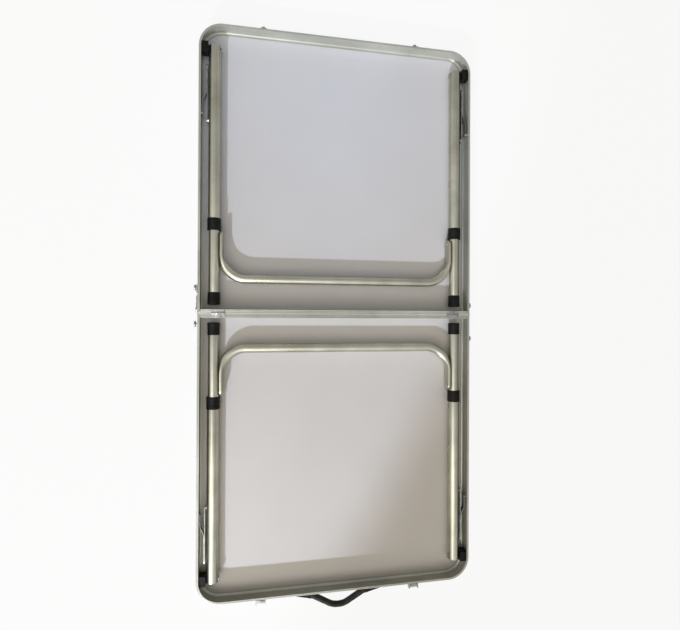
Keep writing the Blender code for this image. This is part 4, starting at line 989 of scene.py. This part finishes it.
def add_stay(half, way):
    """Both links of a folding stay, with domed elbow rivets."""
    named = f"{half}_{world_side(half, way)}"
    hole = circle((0, 0), STAY_RIVET + SEAT_GAP)
    anchor = STAY_FRAME_REACH - LEG_PIVOT_PLACE
    places = {"frame": tray(half) @ shift(way * FRAME_STAY_PLACE, anchor, PIVOT_HEIGHT),
              "leg": leg_frame(half) @ shift(way * LEG_STAY_PLACE, STAY_LEG_REACH, 0)}
    for kind, reach, facing in (("frame", STAY_FRAME_REACH, way), ("leg", STAY_LEG_REACH, -way)):
        length = reach - STAY_ELBOW
        link = sheet_metal([stadium(length), hole], STAY_THICKNESS)
        if kind == "frame":
            joggle(link, way * (STAY_ANCHOR_PLACE - FRAME_STAY_PLACE))
        head = move(dome(STAY_HEAD_RADIUS, STAY_HEAD_LENGTH),
                    sideways(facing, facing * STAY_THICKNESS / 2, -length, 0))
        piece(f"{named}_{kind}_stay", move(join(move(link, SIDE_PLANE), head), places[kind]),
              f"{half}_{kind}_links", "hardware", f"{named}_{kind}_link")


# Hooks, latches and handle


def add_side_hook(half):
    """The flat hook on a half's side, with its notch and the knob near its tip."""
    half_notch = HOOK_NOTCH_WIDTH / 2
    top = HOOK_HALF_WIDTH
    outline = arc((0, 0), top, pi / 2, -pi / 2, END_STEPS)
    outline += [(HOOK_CHAMFER - HOOK_REACH, -top), (-HOOK_REACH, HOOK_CHAMFER - top),
                (-HOOK_REACH, top - HOOK_CHAMFER), (HOOK_CHAMFER - HOOK_REACH, top)]
    outline += [(-HOOK_NOTCH_PLACE - half_notch, top)]
    outline += arc((-HOOK_NOTCH_PLACE, 0), half_notch, pi, 2 * pi, END_STEPS)
    outline += [(half_notch - HOOK_NOTCH_PLACE, top)]
    hole = circle((0, 0), HOOK_RIVET + SEAT_GAP)
    plate = move(sheet_metal([outline, hole], HOOK_THICKNESS), SIDE_PLANE)
    knob = move(turned(KNOB_PROFILE, steps=FORM_STEPS, round_edges=FORM_ROUND),
                towards("+X", HOOK_THICKNESS / 2, KNOB_SETBACK - HOOK_REACH, 0))
    middle = TABLE_WIDTH / 2 + SEAT_GAP + HOOK_THICKNESS / 2
    at = tray(half) @ shift(middle, -HOOK_PLACE, HOOK_HEIGHT)
    piece(f"{half}_hook_plate", move(plate, at), f"{half}_hook", "hardware", f"{half}_side_hook")
    piece(f"{half}_hook_knob", move(knob, at), f"{half}_hook", "hardware")


def add_latch(way):
    """A latch and its keeper with softened edges, and the rivets that hold them."""
    near = world_side("near", way)
    far = world_side("far", way)
    wall = -HALF_LENGTH - SEAT_GAP - PLATE_THICKNESS
    soften(f"{near}_latch_bracket", PLATE_ROUND)
    soften(f"{near}_latch_arm", PLATE_ROUND)
    for index, offset in enumerate(LATCH_RIVETS):
        place = tray("near") @ towards("-Y", way * LATCH_PLACE, wall, LATCH_BASE_MIDDLE + offset)
        rivet(f"{near}_latch_rivet_{index}", place, LATCH_RIVET_RADIUS, PLATE_RIVET_HEIGHT,
              "near_half")
    soften(f"{far}_latch_keeper", PLATE_ROUND)
    for index, offset in enumerate(KEEPER_RIVETS):
        place = tray("far") @ towards("-Y", way * LATCH_PLACE + offset, wall, KEEPER_HEIGHT)
        rivet(f"{far}_keeper_rivet_{index}", place, KEEPER_RIVET_RADIUS, PLATE_RIVET_HEIGHT,
              "far_half")


def screw(name, at, body):
    """A round-headed screw with a cross recess."""
    item = rivet(name, at, SCREW_RADIUS, SCREW_HEIGHT, body)
    arms = []
    for across, up in ((RECESS_REACH, RECESS_HALF_WIDTH), (RECESS_HALF_WIDTH, RECESS_REACH)):
        arms.append(move(block((-across, RECESS_FLOOR, -up), (across, RECESS_TOP, up)), at))
    cut(item, *arms)


def grip_route():
    """Close points along the arch of the grip."""
    drop = HANDLE_REACH - HANDLE_PIN_REACH - HANDLE_RADIUS
    corners = [(HANDLE_SPAN, 0), (HANDLE_FLAT, -drop), (-HANDLE_FLAT, -drop), (-HANDLE_SPAN, 0)]
    coarse = round_corners(corners, HANDLE_BEND, GRIP_BEND_STEPS, closed=False)
    route = []
    for one, other in zip(coarse, coarse[1:]):
        parts = max(1, round((Vector(other) - Vector(one)).length / GRIP_POINT_GAP))
        route += [tuple(Vector(one).lerp(Vector(other), part / parts)) for part in range(parts)]
    return route + [coarse[-1]]


def grip_radius(share):
    """Radius of the grip at a share of its length, with its bands and finger waves."""
    first, last = GRIP_BANDS
    radius = HANDLE_RADIUS * GRIP_SHARE
    if min(abs(share - first), abs(share - last)) < GRIP_BAND_HALF_WIDTH:
        radius = HANDLE_RADIUS * GRIP_BAND_SHARE
    if first < share < last:
        wave = 0.5 + 0.5 * cos(2 * pi * (share - first) / GRIP_WAVE_PITCH)
        radius *= 1 - GRIP_WAVE_DEPTH * wave
    return radius


def add_grip():
    """The arched grip with its seam and the barrels at its ends."""
    route = grip_route()
    rings = []
    run = 0.0
    total = sum((Vector(b) - Vector(a)).length for a, b in zip(route, route[1:]))
    for index, here in enumerate(route):
        before = Vector(route[max(index - 1, 0)])
        after = Vector(route[min(index + 1, len(route) - 1)])
        if index:
            run += (Vector(here) - Vector(route[index - 1])).length
        way = (after - before).normalized()
        side = Vector((-way.y, way.x))
        radius = grip_radius(run / total)
        ring = []
        for step in range(GRIP_STEPS):
            angle = 2 * pi * step / GRIP_STEPS
            seam = GRIP_SEAM if step in (0, GRIP_STEPS // 2) else 0
            out = (radius - seam) * cos(angle)
            ring.append((here[0] + out * side.x, here[1] + out * side.y, radius * sin(angle)))
        rings.append(ring)
    grip = loft(rings)
    for way in SIDES:
        barrel = tube_ring(HANDLE_RADIUS, HANDLE_RADIUS - HANDLE_BORE, HANDLE_BARREL_INNER,
                           HANDLE_BARREL_OUTER, steps=FORM_STEPS, round_edges=BARREL_ROUND)
        join(grip, move(barrel, sideways(way, 0, 0, 0)))
    at = tray("near") @ shift(0, -HALF_LENGTH - HANDLE_PIN_REACH, HANDLE_HEIGHT)
    piece("grip", move(grip, at), "handle", "handle", "handle_grip", SOFT_SHARP)


def add_handle():
    """The grip, the housings of its pins, and the screws and rivets that hold them on the wall."""
    add_grip()
    (inner, inner_reach), (outer, outer_reach) = HOUSING_SLOPE
    for way in SIDES:
        named = world_side("near", way)
        soften(f"{named}_handle_bracket", HOUSING_ROUND)
        for index, across in enumerate(HANDLE_SCREWS):
            reach = inner_reach + (outer_reach - inner_reach) * (across - inner) / (outer - inner)
            place = tray("near") @ towards("-Y", way * across, -HALF_LENGTH - reach, HANDLE_HEIGHT)
            screw(f"{named}_handle_screw_{index}", place, "near_half")
            wall = FRAME_WALL_LINE - HALF_LENGTH
            place = tray("near") @ towards("+Y", way * across, wall, HANDLE_HEIGHT)
            name = f"{named}_handle_rivet_{index}"
            rivet(name, place, SCREW_RADIUS, HANDLE_TAIL_HEIGHT, "near_half")


def dress_nodes():
    """Give every solid that stays a finish, by the slot that the record names for it."""
    for name, item in frame["nodes"].items():
        item.data.materials.clear()
        item.data.materials.append(MATERIALS[SLOT_OF[name]])


# Studio


def add_camera():
    """The camera at the photograph's place and angle."""
    data = bpy.data.cameras.new("camera")
    data.sensor_fit = "HORIZONTAL"
    data.sensor_width = SENSOR_WIDTH
    data.lens = FOCAL_PIXELS * SENSOR_WIDTH / IMAGE_WIDTH
    data.clip_start = NEAR_CLIP
    item = new_object("camera", data)
    turn = Vector([radians(part) for part in CAMERA_TURN_DEGREES])
    place = Vector((0, FOLD_LINE, RIM_HEIGHT)) + Vector(CAMERA_FROM_FOLD)
    item.matrix_world = shift(*place) @ Matrix.Rotation(turn.length, 4, turn.normalized())
    bpy.context.scene.camera = item


def add_light(name, kind, place, target, power, colour):
    """A light of a kind, aimed at a point."""
    data = bpy.data.lights.new(name, kind)
    data.energy = power
    data.color = colour
    item = new_object(name, data)
    item.location = place
    item.rotation_euler = (Vector(target) - Vector(place)).to_track_quat("-Z", "Y").to_euler()
    return item


def add_panel(name, place, target, size, power, colour):
    """A soft panel of light that the camera doesn't see."""
    item = add_light(name, "AREA", place, target, power, colour)
    item.data.shape = "RECTANGLE"
    item.data.size, item.data.size_y = size
    item.visible_camera = False
    return item


def add_beam(name, place, target, half_angle, blend, radius, power, colour):
    """A beam of light with a soft border."""
    item = add_light(name, "SPOT", place, target, power, colour)
    item.data.spot_size = 2 * half_angle
    item.data.spot_blend = blend
    item.data.shadow_soft_size = radius
    return item


def seen_ray(tree):
    """1 for rays from the camera and for those that gloss or glass sends on, and 0 for the rest."""
    light_path = add_node(tree, "LightPath")
    found = light_path.outputs["Is Camera Ray"]
    for kind in ("Is Glossy Ray", "Is Transmission Ray"):
        either = add_node(tree, "Math")
        either.operation = "MAXIMUM"
        tree.links.new(found, either.inputs[0])
        tree.links.new(light_path.outputs[kind], either.inputs[1])
        found = either.outputs[0]
    return found


def mix_shaders(tree, share, one, other, output):
    """Bring two shaders to an output, by the share of the second."""
    mix = add_node(tree, "MixShader")
    for source, socket in zip((share, one.outputs[0], other.outputs[0]), mix.inputs):
        tree.links.new(source, socket)
    tree.links.new(mix.outputs[0], tree.nodes[output].inputs["Surface"])


def add_floor():
    """Pale floor that is seen nearly white and keeps the object's shadow."""
    made, tree, shader = new_material("pale_floor", FLOOR_COLOUR, roughness=0.9, specular=0.1)
    glow = add_node(tree, "Emission")
    glow_share = add_node(tree, "Math")
    glow_share.operation = "MULTIPLY"
    glow_share.inputs[1].default_value = FLOOR_GLOW_SHARE
    tree.links.new(seen_ray(tree), glow_share.inputs[0])
    mix_shaders(tree, glow_share.outputs[0], shader, glow, "Material Output")
    bm = bmesh.new()
    bmesh.ops.create_grid(bm, x_segments=1, y_segments=1, size=FLOOR_REACH)
    data = mesh_from("floor", bm)
    data.materials.append(made)
    floor = new_object("floor", data)
    floor.location.z = -FLOOR_DROP


def add_room():
    """A pale room, brighter to the handle's side and the left, that lights the object dimly."""
    world = bpy.data.worlds.new("room")
    bpy.context.scene.world = world
    world.use_nodes = True
    tree = world.node_tree
    link = tree.links.new
    direction = add_node(tree, "TexCoord")
    facing = add_node(tree, "VectorMath")
    facing.operation = "DOT_PRODUCT"
    facing.inputs[1].default_value = Vector(ROOM_BRIGHT_WAY).normalized()
    link(direction.outputs["Generated"], facing.inputs[0])
    share = add_node(tree, "MapRange")
    share.inputs["From Min"].default_value = -1
    link(facing.outputs["Value"], share.inputs["Value"])
    light = tree.nodes["Background"]
    link(ramp(tree, share.outputs["Result"], ROOM_STOPS), light.inputs["Color"])
    height = add_node(tree, "SeparateXYZ")
    link(direction.outputs["Generated"], height.inputs["Vector"])
    rise = add_node(tree, "MapRange")
    rise.inputs["From Max"].default_value = HORIZON_RISE
    link(height.outputs["Z"], rise.inputs["Value"])
    tint = add_node(tree, "Mix")
    tint.data_type = "RGBA"
    tint.inputs["A"].default_value = (*SEEN_HORIZON, 1)
    link(ramp(tree, share.outputs["Result"], SEEN_STOPS), tint.inputs["B"])
    link(rise.outputs["Result"], tint.inputs["Factor"])
    seen = add_node(tree, "Background")
    link(tint.outputs["Result"], seen.inputs["Color"])
    mix_shaders(tree, seen_ray(tree), light, seen, "World Output")


def add_lights():
    """Window light from the handle's side, a warm panel, a card, and faint blue on the far half."""
    add_beam("window", place=(-2.2, -5.4, 2.8), target=(-0.455, 0.30, 0), half_angle=radians(7.49),
             blend=0.18, radius=0.08, power=1270, colour=(0.80, 0.86, 1.0))
    overhead = add_panel("overhead", place=(-0.7, -1.35, 1.5), target=PANEL_TARGET, size=(1.3, 0.7),
                         power=5, colour=(1.0, 0.93, 0.84))
    overhead.visible_glossy = False
    card = add_panel("card", place=(-0.75, -1.12, 1.55), target=PANEL_TARGET, size=(1.8, 1.6),
                     power=17, colour=(1.0, 0.97, 0.86))
    card.visible_diffuse = False
    sky = add_beam("sky", place=(-0.2, 0.8, 2.3), target=(0, 0.50, 0), half_angle=radians(11),
                   blend=0.9, radius=0.3, power=56, colour=(0.35, 0.60, 1.0))
    sky.visible_glossy = False


MATERIALS = {slot: make_finish(**look) for slot, look in FINISHES.items()}
dress_nodes()
for half_name in HALVES:
    add_edge_frame(half_name)
    add_hinge_rail(half_name)
    add_spreader_bar(half_name)
    add_side_hook(half_name)
    for side_sign in SIDES:
        add_hinge_leaf(half_name, side_sign)
        add_leg(half_name, side_sign)
        add_stay(half_name, side_sign)
        soften(f"{half_name}_{world_side(half_name, side_sign)}_pivot_block", BLOCK_ROUND)
for side_sign in SIDES:
    add_latch(side_sign)
add_handle()
add_camera()
add_floor()
add_room()
add_lights()
bpy.context.scene.view_settings.view_transform = "Standard"
